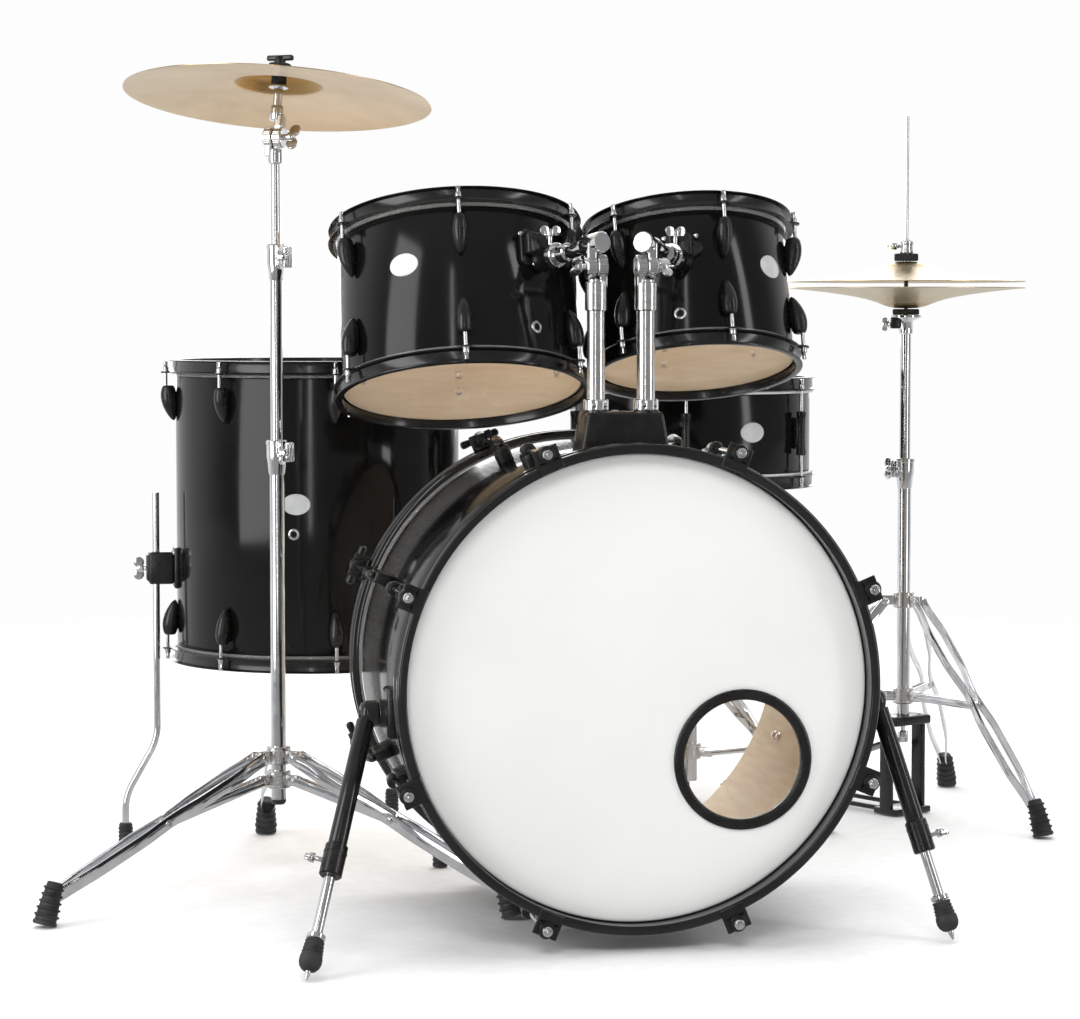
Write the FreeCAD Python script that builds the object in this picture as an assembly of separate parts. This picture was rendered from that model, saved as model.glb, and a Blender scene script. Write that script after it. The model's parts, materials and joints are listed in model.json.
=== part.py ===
import math
import os

import FreeCAD, Part

V = FreeCAD.Vector

# Driving dimensions, mm. +X to the hi-hat side, +Y to the player, +Z up, floor at z = 0.
BASS_R = 279.5        # 22 in shell
BASS_HALF = 203.0     # 16 in deep
BASS_CENTRE = (0.0, 227.0, 313.0)
BASS_ROD_R = 304.0
HOOP_END = 227.0      # wood hoop rim from the shell's middle
PORT = (128.0, -88.0, 73.5)
TOM12 = {"r": 150.8, "half": 101.5, "at": (-166.0, 330.0, 761.0), "lean": -17.0, "lugs": 6, "turn": 22.6,
         "off": 14.5, "lip": 11.5}
TOM10 = {"r": 125.4, "half": 89.0, "at": (137.0, 330.0, 778.0), "lean": -17.0, "lugs": 6, "turn": -24.0,
         "off": 14.5, "lip": 11.5}
FLOOR = {"r": 201.6, "half": 203.0, "at": (-287.0, 850.0, 480.0), "lean": 0.0, "lugs": 8, "turn": 0.0,
         "off": 14.5, "lip": 11.5}
SNARE = {"r": 178.0, "half": 70.0, "at": (278.0, 925.0, 585.0), "lean": 0.0, "lugs": 6, "turn": 15.0,
         "off": 12.5, "lip": 9.0}
# "off" is the tension rod axis outside the shell, "lip" the hoop's flange outside the shell
WALL = 6.4
POST_X = 31.0
POST_Y = 125.0
POST_R = 11.0
TILT_Z = 815.0
CRASH = (-378.0, 530.0)
CRASH_R = 203.0
HAT = (614.0, 930.0)
HAT_R = 178.0
HAT_TURN = 118.0      # way the hi-hat footboard points
LEG_OUT = 30.0        # floor tom leg axis outside the shell
GAP = 0.4             # between pieces that move apart
ORIGIN_Y = 600.0      # the frame's origin, on the ground plate of the bass pedal


def tube(p, q, r, bore=0.0):
    p = V(*p)
    q = V(*q)
    body = Part.makeCylinder(r, (q - p).Length, p, q - p)
    if bore:
        body = body.cut(Part.makeCylinder(bore, (q - p).Length, p, q - p))
    return body


def bar(p, q, wide, thick, side):
    p = V(*p)
    q = V(*q)
    along = (q - p).normalize()
    side = V(*side)
    side = (side - along * side.dot(along)).normalize()
    up = along.cross(side)
    a = side * (wide / 2.0)
    b = up * (thick / 2.0)
    wire = Part.makePolygon([p - a - b, p + a - b, p + a + b, p - a + b, p - a - b])
    return Part.Face(wire).extrude(q - p)


def box(x0, x1, y0, y1, z0, z1):
    return Part.makeBox(x1 - x0, y1 - y0, z1 - z0, V(x0, y0, z0))


def lathe(points):
    ring = [V(r, 0, z) for r, z in points]
    ring.append(ring[0])
    return Part.Face(Part.makePolygon(ring)).revolve(V(0, 0, 0), V(0, 0, 1), 360)


def around(shape, angles):
    out = []
    for angle in angles:
        copy = shape.copy()
        copy.rotate(V(0, 0, 0), V(0, 0, 1), angle)
        out.append(copy)
    return out


def every(count, turn):
    return [turn + 360.0 / count * i for i in range(count)]


def place(shapes, at, lean=0.0):
    out = []
    for shape in shapes:
        copy = shape.copy()
        copy.rotate(V(0, 0, 0), V(1, 0, 0), lean)
        copy.translate(V(*at))
        out.append(copy)
    return out


def join(shapes):
    return shapes[0].fuse(shapes[1:]).removeSplitter()


def write(name, shapes):
    solids = []
    for shape in shapes:
        solids.extend(shape.Solids)
    for solid in solids:
        solid.translate(V(0, -ORIGIN_Y, 0))
    Part.Compound(solids).exportStep("parts/" + name + ".step")
    print(name, len(solids), all(s.isValid() for s in solids))


def wing(at, axis, span, reach=12.0, r=3.0, wide=13.0, tall=13.0):
    # thumb screw: shank from the hub out along axis, two flat wings across span
    at = V(*at)
    axis = V(*axis).normalize()
    span = V(*span).normalize()
    hub = at + axis * reach
    shank = Part.makeCylinder(r, reach + 3, at, axis)
    boss = Part.makeCylinder(r + 2, 6, hub, axis)
    parts = [shank, boss]
    for sign in (-1, 1):
        p = hub + axis * 3 + span * sign * 2
        q = p + span * sign * wide + axis * 3
        parts.append(bar(tuple(p), tuple(q), tall * 0.75, 3.0, tuple(axis)))
    return join(parts)


# ---------- drum pieces, axis along z, middle at the origin ----------

def shell(d, wall=WALL):
    r = d["r"]
    h = d["half"]
    return lathe([(r - wall, -h), (r, -h), (r, h), (r - wall, h)])


def head(r, z, up, drop=12.0, hole=None):
    pts = [(0, 0), (0, 0.6), (r + 1.0, 0.6), (r + 1.0, 4 - drop), (r + 5, 4 - drop),
           (r + 5, -drop), (r + 0.3, -drop), (r + 0.3, 0)]
    film = lathe([(a, z + b * up) for a, b in pts])
    if hole:
        film = film.cut(Part.makeCylinder(hole[2], 20, V(hole[0], hole[1], z - 10)))
    return film


def steel_hoop(d, up):
    # triple-flanged hoop with an ear at each rod
    r = d["r"]
    z = d["half"] * up
    lip = d["lip"]
    pts = [(1.5, -8), (lip, -8), (lip, -6), (3.5, -6), (3.5, 9), (lip - 1, 9), (lip - 1, 11), (1.5, 11)]
    hoop = lathe([(r + a, z + b * up) for a, b in pts])
    low = min(z - 8 * up, z - 6 * up)
    ears = []
    holes = []
    for angle in every(d["lugs"], d["turn"]):
        c = math.cos(math.radians(angle)) * (r + d["off"])
        s = math.sin(math.radians(angle)) * (r + d["off"])
        ears.append(Part.makeCylinder(6.5, 2, V(c, s, low)))
        holes.append(Part.makeCylinder(2.9, 6, V(c, s, low - 2)))
    ring_cut = Part.makeCylinder(r + 4, 400, V(0, 0, z - 200))
    ears = [e.cut(ring_cut) for e in ears]
    return hoop.fuse(ears).cut(Part.Compound(holes))


def tension_rod(d, up, inner):
    # rod with washer and key head, at angle 0
    x = d["r"] + d["off"]
    z = d["half"] * up
    at = lambda k: (x, 0, z + k * up)
    parts = [tube(at(-inner), at(-6), 2.6), tube(at(-6), at(-4.5), 5.2), tube(at(-4.5), at(2), 4.0)]
    key = box(x - 2.8, x + 2.8, -2.8, 2.8, min(z + 2 * up, z + 9 * up), max(z + 2 * up, z + 9 * up))
    return join(parts + [key])


def drop_lug(d, up, near=26.0, size=50.0):
    # teardrop lug for one end, with the rod's bore
    r = d["r"]
    x = r + d["off"]
    z = d["half"] * up
    p = V(x - 0.5, 0, z - near * up)
    cone = Part.makeCone(9.5, 3.5, size, p, V(0, 0, -up))
    foot = box(r - 3, x - 2, -5.5, 5.5, min(z - near * up, z - (near + size) * up),
               max(z - near * up, z - (near + size) * up))
    lug = cone.fuse(foot).cut(Part.makeCylinder(r + 0.02, 900, V(0, 0, -450)))
    return lug.cut(Part.makeCylinder(2.8, 26, V(x, 0, z - (near - 1) * up), V(0, 0, -up)))


def tube_lug(d):
    # one lug for both ends of a shallow drum
    r = d["r"]
    x = r + d["off"]
    body = Part.makeCylinder(7.5, 64, V(x, 0, -32)).fuse(box(r - 3, x, -6, 6, -24, 24))
    body = body.cut(Part.makeCylinder(r + 0.02, 200, V(0, 0, -100)))
    return body.cut(Part.makeCylinder(2.8, 70, V(x, 0, -35)))


def badge(r, angle, z, wide=39.0, high=29.0):
    plate = Part.makeCylinder(12, 1.2, V(r + 0.1, 0, 0), V(1, 0, 0))
    grow = FreeCAD.Matrix()
    grow.A22 = wide / 24.0
    grow.A33 = high / 24.0
    plate = plate.transformGeometry(grow)
    plate.rotate(V(0, 0, 0), V(0, 0, 1), angle)
    plate.translate(V(0, 0, z))
    return plate.cut(Part.makeCylinder(r + 0.02, 900, V(0, 0, -450)))


def vent(r, angle, z):
    ring = tube((r - 8, 0, 0), (r + 2, 0, 0), 6.0, 4.4)
    flange = tube((r + 0.5, 0, 0), (r + 2, 0, 0), 8.0, 4.4)
    out = ring.fuse(flange)
    out.rotate(V(0, 0, 0), V(0, 0, 1), angle)
    out.translate(V(0, 0, z))
    return out


def vent_hole(body, r, angle, z):
    drill = tube((r - 20, 0, 0), (r + 20, 0, 0), 6.05)
    drill.rotate(V(0, 0, 0), V(0, 0, 1), angle)
    drill.translate(V(0, 0, z))
    return body.cut(drill)


# ---------- bass drum ----------

def bass_drum():
    d = {"r": BASS_R, "half": BASS_HALF}
    lean = 90.0
    body = shell(d, 7.0)
    for x in (-POST_X, POST_X):
        hole = Part.makeCylinder(POST_R + 2, 120, V(x, 220, BASS_CENTRE[1] - POST_Y), V(0, 1, 0))
        body = body.cut(hole)
    body = vent_hole(body, BASS_R, 90.0, -60.0)
    write("bass_shell", place([body], BASS_CENTRE, lean))
    rim = [(281.3, 191.2), (293, 191.2), (293, 200), (289.5, 203), (289.5, 215), (293, 218),
           (293, HOOP_END), (281.3, HOOP_END)]
    hoops = [lathe([(r, z * s) for r, z in rim]) for s in (1, -1)]
    write("bass_hoops", place(hoops, BASS_CENTRE, lean))
    write("bass_front_head", place([head(BASS_R, BASS_HALF, 1, 16.0, PORT)], BASS_CENTRE, lean))
    write("bass_rear_head", place([head(BASS_R, -BASS_HALF, -1, 16.0)], BASS_CENTRE, lean))
    ring = lathe([(70.5, 198), (84, 198), (84, 202.6), (73.2, 202.6), (73.2, 204), (86, 204),
                  (86, 208), (70.5, 208)])
    ring.translate(V(PORT[0], PORT[1], 0))
    write("port_ring", place([ring], BASS_CENTRE, lean))

    spots = every(8, 22.5)
    claws = []
    rods = []
    lugs = []
    x = BASS_ROD_R
    for s in (1, -1):
        lo = lambda a, b: (min(a * s, b * s), max(a * s, b * s))
        z0, z1 = lo(HOOP_END, HOOP_END + 3)
        plate = box(283, 312, -16, 16, z0, z1)
        z0, z1 = lo(204, HOOP_END + 3)
        arm = box(293.2, 297, -14, 14, z0, z1)
        boss = tube((x, 0, 210 * s), (x, 0, 233 * s), 9.0)
        claw = join([plate, arm, boss]).cut(tube((x, 0, 200 * s), (x, 0, 240 * s), 3.5))
        claws += around(claw, spots)
        rod = tube((x, 0, 92 * s), (x, 0, 234 * s), 3.2).fuse(tube((x, 0, 233.1 * s), (x, 0, 241 * s), 6.2))
        if s > 0:
            z0, z1 = lo(241, 248)
            rod = rod.fuse(box(x - 3.2, x + 3.2, -3.2, 3.2, z0, z1))
        else:
            z0, z1 = lo(239, 248)
            rod = rod.fuse(box(x - 5, x + 5, -27, 27, z0, z1))
        rods += around(rod, spots)
        z0, z1 = lo(76, 122)
        lug = box(BASS_R - 4, 300, -10, 10, z0, z1).fuse(tube((x, 0, 80 * s), (x, 0, 118 * s), 9.0))
        lug = lug.cut(Part.makeCylinder(BASS_R + 0.02, 800, V(0, 0, -400)))
        lugs += around(lug.cut(tube((x, 0, 84 * s), (x, 0, 130 * s), 3.5)), spots)
    lugs.append(vent(BASS_R, 90.0, -60.0))
    write("bass_claws", place(claws, BASS_CENTRE, lean))
    write("bass_rods", place(rods, BASS_CENTRE, lean))
    write("bass_lugs", place(lugs, BASS_CENTRE, lean))


def tom_mount_block():
    pts = [V(-57, 93, 560), V(57, 93, 560), V(47, 93, 640), V(-47, 93, 640), V(-57, 93, 560)]
    block = Part.Face(Part.makePolygon(pts)).extrude(V(0, 64, 0))
    block = block.cut(Part.makeCylinder(BASS_R + 0.02, 400, V(0, 0, BASS_CENTRE[2]), V(0, 1, 0)))
    for x in (-POST_X, POST_X):
        block = block.cut(Part.makeCylinder(POST_R + GAP, 200, V(x, POST_Y, 500)))
    return block


# ---------- spurs: folding tube on the shell, sliding rod inside it ----------

SPUR_PIVOT = (-316.0, 92.0, 282.0)
SPUR_TIP = {"left": (-410.0, -80.0, 0.0), "right": (386.0, -2.0, 0.0)}
SPUR_CUT = 0.52


def mirror_point(p, side):
    return (p[0] if side == "left" else -p[0], p[1], p[2])


def spurs():
    brackets = [tom_mount_block()]
    for side in ("left", "right"):
        k = -1 if side == "left" else 1
        pivot = V(*mirror_point(SPUR_PIVOT, side))
        tip = V(*SPUR_TIP[side])
        along = (tip - pivot).normalize()
        # bracket: curved pad on the shell and a round boss that faces the spur's head
        pad = box(-300, -270, 68, 116, 252, 314) if k < 0 else box(270, 300, 68, 116, 252, 314)
        pad = pad.cut(Part.makeCylinder(BASS_R + 0.02, 400, V(0, 0, BASS_CENTRE[2]), V(0, 1, 0)))
        boss = tube((k * 292, 92, 282), (k * 303, 92, 282), 17.0)
        pin = tube((k * 303, 92, 282), (k * 327, 92, 282), 5.0)
        brackets.append(join([pad, boss, pin]))
        # head turns on the bracket's pin
        drill = tube((k * 300, 92, 282), (k * 335, 92, 282), 5.0 + GAP)
        knob = tube((k * (303 + GAP), 92, 282), (k * 325, 92, 282), 16.0)
        length = (tip - pivot).Length
        top = pivot + along * 10
        end = pivot + along * (length * SPUR_CUT)
        arm = tube(tuple(top), tuple(end), 11.0)
        sleeve = tube(tuple(end - along * 6), tuple(end + along * 34), 13.5)
        spin = V(0, -1, 0) if k < 0 else V(1, -0.4, 0)
        side_way = V(k, 0, 0)
        side_way = (side_way - along * side_way.dot(along)).normalize()
        screw = wing(tuple(end + along * 16 + side_way * 10), tuple(side_way), tuple(along), 14, 3.0)
        body = join([knob, arm, sleeve, screw]).cut(drill)
        bore = tube(tuple(pivot + along * 34), tuple(end + along * 60), 6.5 + GAP)
        body = body.cut(bore)
        write(side + "_spur_tube", [body])
        # rod: slides in the tube, nut, rubber tip and spike
        start = pivot + along * (length * SPUR_CUT - 50)
        stop = tip - along * 22
        rod = tube(tuple(start), tuple(stop), 6.5)
        nut = tube(tuple(tip - along * 58), tuple(tip - along * 50), 10.0, 6.5)
        foot = tube(tuple(tip - along * 50), tuple(tip - along * 14), 12.0)
        foot = foot.fuse(Part.makeCone(12, 5, 6, tip - along * 14, along)).cut(rod)
        spike = Part.makeCone(3.5, 0.6, 8.0, tip - along * 8, along)
        keep = Part.makeBox(2000, 2000, 1000, V(-1000, -1000, 0))
        write(side + "_spur_leg", [rod, nut, foot, spike.common(keep)])
    write("bass_brackets", brackets)


# ---------- rack toms ----------

def tom(name, d, bracket_angle, bracket_z, arm_dir, badge_at, vent_at):
    r = d["r"]
    at = d["at"]
    lean = d["lean"]
    body = vent_hole(shell(d), r, vent_at[0], vent_at[1])
    write(name + "_shell", place([body], at, lean))
    write(name + "_heads", place([head(r, d["half"], 1), head(r, -d["half"], -1)], at, lean))
    write(name + "_hoops", place([steel_hoop(d, 1), steel_hoop(d, -1)], at, lean))
    spots = every(d["lugs"], d["turn"])
    rods = []
    fit = []
    for up in (1, -1):
        rods += around(tension_rod(d, up, 50.0), spots)
        fit += around(drop_lug(d, up), spots)
    write(name + "_rods", place(rods, at, lean))
    fit.append(badge(r, badge_at[0], badge_at[1]))
    fit.append(vent(r, vent_at[0], vent_at[1]))
    fit = place(fit, at, lean)
    # bracket: triangular plate and a boss that grips the arm, plus its screw
    plate = Part.makePolygon([V(0, -28, 26), V(0, 28, 26), V(0, 28, -8), V(0, 6, -34), V(0, -6, -34),
                              V(0, -28, -8), V(0, -28, 26)])
    plate = Part.Face(plate).extrude(V(12, 0, 0))
    plate.translate(V(r - 6, 0, bracket_z))
    plate.rotate(V(0, 0, 0), V(0, 0, 1), bracket_angle)
    plate = plate.cut(Part.makeCylinder(r + 0.02, 900, V(0, 0, -450)))
    plate = place([plate], at, lean)[0]
    solid = place([Part.makeCylinder(r + 0.02, 900, V(0, 0, -450))], at, lean)[0]
    mouth = ARM_END[name]
    along = V(*arm_dir).normalize()
    boss = tube(tuple(V(*mouth) - along * 2), tuple(V(*mouth) + along * 60), 15.0).cut(solid)
    boss = sorted(boss.Solids, key=lambda s: s.Volume)[-1]
    screw = wing(tuple(V(*mouth) + along * 12 + V(0, 0, 12)), (0, 0, 1), (1, 0.3, 0), 16, 3.0)
    bore = tube(tuple(V(*mouth) - along * 10), tuple(V(*mouth) + along * 34), 7.0 + GAP)
    fit.append(join([plate, boss, screw]).cut(bore))
    write(name + "_fittings", fit)


ARM_END = {"tom12": (-68.0, 185.0, 830.0), "tom10": (78.0, 190.0, 830.0)}


def arm_way(name, x):
    elbow = V(x, POST_Y - 2, 843)
    return (V(*ARM_END[name]) - elbow).normalize()


def tom_support(name, x, s):
    # post with the lower half of the tilter; the arm carries the upper half
    y = POST_Y
    post = tube((x, y, 480), (x, y, 800), POST_R, 8.5)
    sleeve = tube((x, y, 762), (x, y, 797), 13.5).cut(tube((x, y, 700), (x, y, 780), 8.5))
    lock = tube((x, y, 641), (x, y, 655), 15.5, POST_R - 1)
    ear = box(x - 5, x + 5, y - 25, y - 13, 641, 655)
    drum = tube((x - s * 13, y, TILT_Z), (x - s * GAP, y, TILT_Z), 15.0)
    neck = box(min(x - s * 13, x - s * 3), max(x - s * 13, x - s * 3), y - 9, y + 9, 790, TILT_Z)
    bolt = tube((x - s * 2, y, TILT_Z), (x + s * 16, y, TILT_Z), 4.0)
    screw = wing((x + s * 14, y, TILT_Z), (s, 0, 0), (0, 0.5, 1), 6, 4.0, 14.0, 12.0)
    clear = tube((x + s * GAP * 0.5, y, TILT_Z), (x + s * 13.2, y, TILT_Z), 17.0).cut(
        tube((x - s * 2, y, TILT_Z), (x + s * 16, y, TILT_Z), 4.0))
    body = join([post, sleeve, lock, ear, drum, neck]).cut(clear)
    write(name + "_post", [join([body, bolt, screw])])

    along = arm_way(name, x)
    elbow = V(x, y - 2, 843)
    knuckle = tube((x + s * GAP * 0.5, y, TILT_Z), (x + s * 12.8, y, TILT_Z), 15.0)
    riser = bar((x + s * 6.5, y, TILT_Z), (x + s * 6.5, y - 2, 845), 12.6, 18.0, (1, 0, 0))
    joint = tube(tuple(elbow - along * 13), tuple(elbow + along * 20), 13.0)
    rod = tube(tuple(elbow), tuple(V(*ARM_END[name]) + along * 30), 7.0)
    thick = tube(tuple(elbow), tuple(V(*ARM_END[name]) - along * 16), 9.5)
    arm = join([knuckle, riser, joint, rod, thick])
    arm = arm.cut(tube((x - s * 30, y, TILT_Z), (x + s * 30, y, TILT_Z), 4.0 + GAP))
    arm = arm.cut(tube((x - s * 40, y, TILT_Z), (x + s * GAP * 0.4, y, TILT_Z), 15.0 + GAP))
    write(name + "_arm", [arm])


# ---------- floor tom ----------

def floor_tom():
    d = FLOOR
    r = d["r"]
    at = d["at"]
    write("floor_tom_shell", place([vent_hole(shell(d), r, -106.0, -23.0)], at))
    write("floor_tom_heads", place([head(r, d["half"], 1), head(r, -d["half"], -1)], at))
    write("floor_tom_hoops", place([steel_hoop(d, 1), steel_hoop(d, -1)], at))
    rods = []
    fit = []
    for up in (1, -1):
        rods += around(tension_rod(d, up, 50.0), every(d["lugs"], d["turn"]))
        fit += around(drop_lug(d, up), every(d["lugs"], d["turn"]))
    fit += [badge(r, -105.0, 18.0), vent(r, -106.0, -23.0)]
    write("floor_tom_rods", place(rods, at))
    write("floor_tom_fittings", place(fit, at))
    brackets = []
    x = r + LEG_OUT
    for i, angle in enumerate((180.0, 60.0, -60.0)):
        clamp = box(r - 4, x + 12, -15, 15, -105, -58)
        clamp = clamp.cut(Part.makeCylinder(r + 0.02, 400, V(0, 0, -200)))
        screw = wing((x + 8, 0, -82), (1, 0, 0), (0, 1, 0), 12, 3.5, 15.0, 14.0)
        clamp = clamp.fuse(screw).cut(tube((x, 0, -150), (x, 0, 0), 5.0 + GAP))
        brackets += around(clamp, [angle])
        base = -at[2]
        a = (x, 0, 506 + base)
        b = (x, 0, 154 + base)
        c = (x + 46, 0, 72 + base)
        e = (x + 46, 0, 12 + base)
        leg = join([tube(a, b, 5.0), tube(b, c, 5.0), tube(c, e, 5.0),
                    Part.makeSphere(5.0, V(*b)), Part.makeSphere(5.0, V(*c))])
        foot = tube((x + 46, 0, base), (x + 46, 0, 34 + base), 10.5).cut(tube(c, e, 5.02))
        write("floor_leg_" + "abc"[i], place(around(leg, [angle]) + around(foot, [angle]), at))
    write("floor_leg_brackets", place(brackets, at))


# ---------- snare drum and its stand ----------

THROW = 225.0     # side of the snare strainer


def snare():
    d = SNARE
    r = d["r"]
    at = d["at"]
    body = vent_hole(shell(d), r, 105.0, 0.0)
    write("snare_shell", place([body], at))
    write("snare_heads", place([head(r, d["half"], 1), head(r, -d["half"], -1)], at))
    gate = around(box(100, 260, -24, 24, -100, -d["half"] + 4.5), [THROW, THROW + 180])
    low = steel_hoop(d, -1)
    for g in gate:
        low = low.cut(g)
    write("snare_hoops", place([steel_hoop(d, 1), low], at))
    spots = every(d["lugs"], d["turn"])
    rods = []
    for up in (1, -1):
        rods += around(tension_rod(d, up, 62.0), spots)
    write("snare_rods", place(rods, at))
    fit = around(tube_lug(d), spots)
    strainer = box(r - 3, r + 14, -14, 14, -52, 26).cut(Part.makeCylinder(r + 0.02, 200, V(0, 0, -100)))
    strainer = strainer.cut(box(r + 3.6, r + 30, -6.5, 6.5, -24, 30))
    pin = tube((r + 11, -9, -14), (r + 11, 9, -14), 2.0)
    fit += around(strainer.fuse(pin), [THROW])
    butt = box(r - 3, r + 12, -14, 14, -52, -18).cut(Part.makeCylinder(r + 0.02, 200, V(0, 0, -100)))
    fit += around(butt, [THROW + 180])
    fit += [badge(r, -73.0, 3.0), vent(r, 105.0, 0.0)]
    write("snare_fittings", place(fit, at))
    lever = box(r + 8, r + 14, -5.5, 5.5, -14, 36).fuse(tube((r + 11, -5.5, -14), (r + 11, 5.5, -14), 6.0))
    lever = lever.fuse(box(r + 10, r + 28, -5.5, 5.5, 32, 36))
    lever = lever.cut(tube((r + 11, -10, -14), (r + 11, 10, -14), 2.0 + GAP))
    write("snare_lever", place(around(lever, [THROW]), at))
    # wires under the lower head, straps out through the hoop's gates
    z = -d["half"] - 2.4
    wires = [tube((-150, y, z), (150, y, z), 0.7) for y in [-18 + 4 * i for i in range(10)]]
    plates = [box(-158, -150, -21, 21, z - 1.2, z + 1.2), box(150, 158, -21, 21, z - 1.2, z + 1.2)]
    straps = [box(158, 189.6, -12, 12, z - 0.4, z + 0.4), box(-189.6, -158, -12, 12, z - 0.4, z + 0.4),
              box(188.8, 189.6, -12, 12, z + 0.4, -52), box(-189.6, -188.8, -12, 12, z + 0.4, -52)]
    group = join(wires + plates + straps)
    write("snare_wires", place(around(group, [THROW]), at))


def clamp_collar(x, y, z0, z1, r, bore, way, reach=9.0):
    # pinch collar with a thumb screw on one side
    body = tube((x, y, z0), (x, y, z1), r)
    a = math.radians(way)
    zc = (z0 + z1) / 2.0
    ear = bar((x, y, zc), (x + (r + 9) * math.cos(a), y + (r + 9) * math.sin(a), zc), 11, z1 - z0 - 6, (
        -math.sin(a), math.cos(a), 0))
    px = x + (r + 5) * math.cos(a) + 4 * math.sin(a)
    py = y + (r + 5) * math.sin(a) - 4 * math.cos(a)
    screw = wing((px, py, zc), (math.sin(a), -math.cos(a), 0), (0, 0, 1), reach, 3.0)
    return join([body, ear, screw]).cut(tube((x, y, z0 - 5), (x, y, z1 + 5), bore))


def tripod(x, y, ways, reach, z_top, z_low, joint_at, tube_r, strap=20.0):
    # two-strap legs, strap braces and ribbed feet round one tube
    legs = []
    braces = []
    feet = []
    for way in ways:
        top = (30, z_top)
        foot = (reach - 12, 34)
        k = (joint_at - top[0]) / (foot[0] - top[0])
        rivet = (joint_at, top[1] + (foot[1] - top[1]) * k)
        for off in (-9.5, 9.5):
            legs.append(bar((top[0], off, top[1]), (foot[0], off * 0.75, foot[1]), strap, 2.6, (0.3, 0, 1)))
        for off in (-5.8, 5.8):
            braces.append(bar((28, off, z_low), (rivet[0], off, rivet[1]), strap * 0.7, 2.6, (0.2, 0, 1)))
        pins = [tube((top[0] + 3, -12.5, top[1] - 1), (top[0] + 3, 12.5, top[1] - 1), 3.0),
                tube((rivet[0], -12.5, rivet[1]), (rivet[0], 12.5, rivet[1]), 3.0)]
        solid_leg = join(legs[-2:] + braces[-2:] + pins)
        legs = legs[:-2] + [solid_leg]
        braces = braces[:-2]
        pad = Part.makeCone(10.5, 16.0, 52.0, V(reach - 17, 0, 52), V(18, 0, -50))
        keep = box(0, 900, -100, 100, 0, 400)
        pad = pad.common(keep).cut(solid_leg)
        feet.append(sorted(pad.Solids, key=lambda s: s.Volume)[-1])
    out = []
    for i, way in enumerate(ways):
        for s in (legs[i], feet[i]):
            c = s.copy()
            c.rotate(V(0, 0, 0), V(0, 0, 1), way)
            c.translate(V(x, y, 0))
            out.append(c)
    collars = []
    for z in (z_top, z_low):
        hub = tube((x, y, z - 12), (x, y, z + 12), tube_r + 6, tube_r + 0.02)
        for way in ways:
            a = math.radians(way)
            p = (x + (tube_r + 4) * math.cos(a), y + (tube_r + 4) * math.sin(a), z)
            q = (x + 41 * math.cos(a), y + 41 * math.sin(a), z)
            hub = hub.fuse(bar(p, q, 8.4, 15, (-math.sin(a), math.cos(a), 0)))
        collars.append(hub)
    hardware = Part.Compound(out)
    cleared = [c.cut(hardware) for c in collars]
    return out + cleared


def snare_stand():
    x, y, z = SNARE["at"]
    lower = tube((x, y, 60), (x, y, 372), 12.7, 10.0)
    parts = [lower, clamp_collar(x, y, 340, 372.0, 17.5, 12.72, 230.0)]
    parts += tripod(x, y, (80.0, 200.0, 320.0), 225.0, 230.0, 105.0, 130.0, 12.7)
    write("snare_stand", parts)
    # basket: sliding tube, hub and three cradle arms under the drum
    stem = tube((x, y, 240), (x, y, 432), 10.0 - GAP)
    hub = tube((x, y, 415), (x, y, 447), 20.0)
    arms = []
    base = z - SNARE["half"] - 11.0
    for way in (30.0, 150.0, 270.0):
        pts = [(14, 0, 431), (150, 0, base - 14), (196, 0, base - 6), (196, 0, base + 30)]
        for p, q in zip(pts, pts[1:]):
            arms.append((bar(p, q, 10.0, 7.0, (0, 1, 0)), way))
        arms.append((box(184, 200, -7, 7, base - 12, base - 0.3), way))
        arms.append((box(191, 201, -7, 7, base - 6, base + 34), way))
    solid = [stem, hub]
    for shape, way in arms:
        c = shape.copy()
        c.rotate(V(0, 0, 0), V(0, 0, 1), way)
        c.translate(V(x, y, 0))
        solid.append(c)
    write("snare_basket", [join(solid)])


# ---------- cymbals ----------

def cymbal(radius, bell, bell_h, bow_h, thick=1.3, hole=7.0):
    # bell and bow in one shallow spun sheet, edge at z = 0
    def curve(z):
        a = V(hole, 0, z + bow_h + bell_h)
        b = V(bell * 0.68, 0, z + bow_h + bell_h * 0.62)
        c = V(bell, 0, z + bow_h)
        e = V(radius * 0.62, 0, z + bow_h * 0.52)
        f = V(radius, 0, z)
        return a, b, c, e, f
    a, b, c, e, f = curve(0)
    g, h, i, j, k = curve(thick)
    edges = [Part.Arc(a, b, c).toShape(), Part.Arc(c, e, f).toShape(), Part.makeLine(f, k),
             Part.Arc(k, j, i).toShape(), Part.Arc(i, h, g).toShape(), Part.makeLine(g, a)]
    return Part.Face(Part.Wire(edges)).revolve(V(0, 0, 0), V(0, 0, 1), 360)


# ---------- crash stand ----------

CRASH_TILT_Z = 990.0
CRASH_BACK = -8.8     # rod leans away from upright about the tilter's bolt
CRASH_TURN = -32.7    # way of that bolt round the stand
CRASH_EDGE = 51.0     # cymbal's edge above the bolt, along the rod


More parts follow.
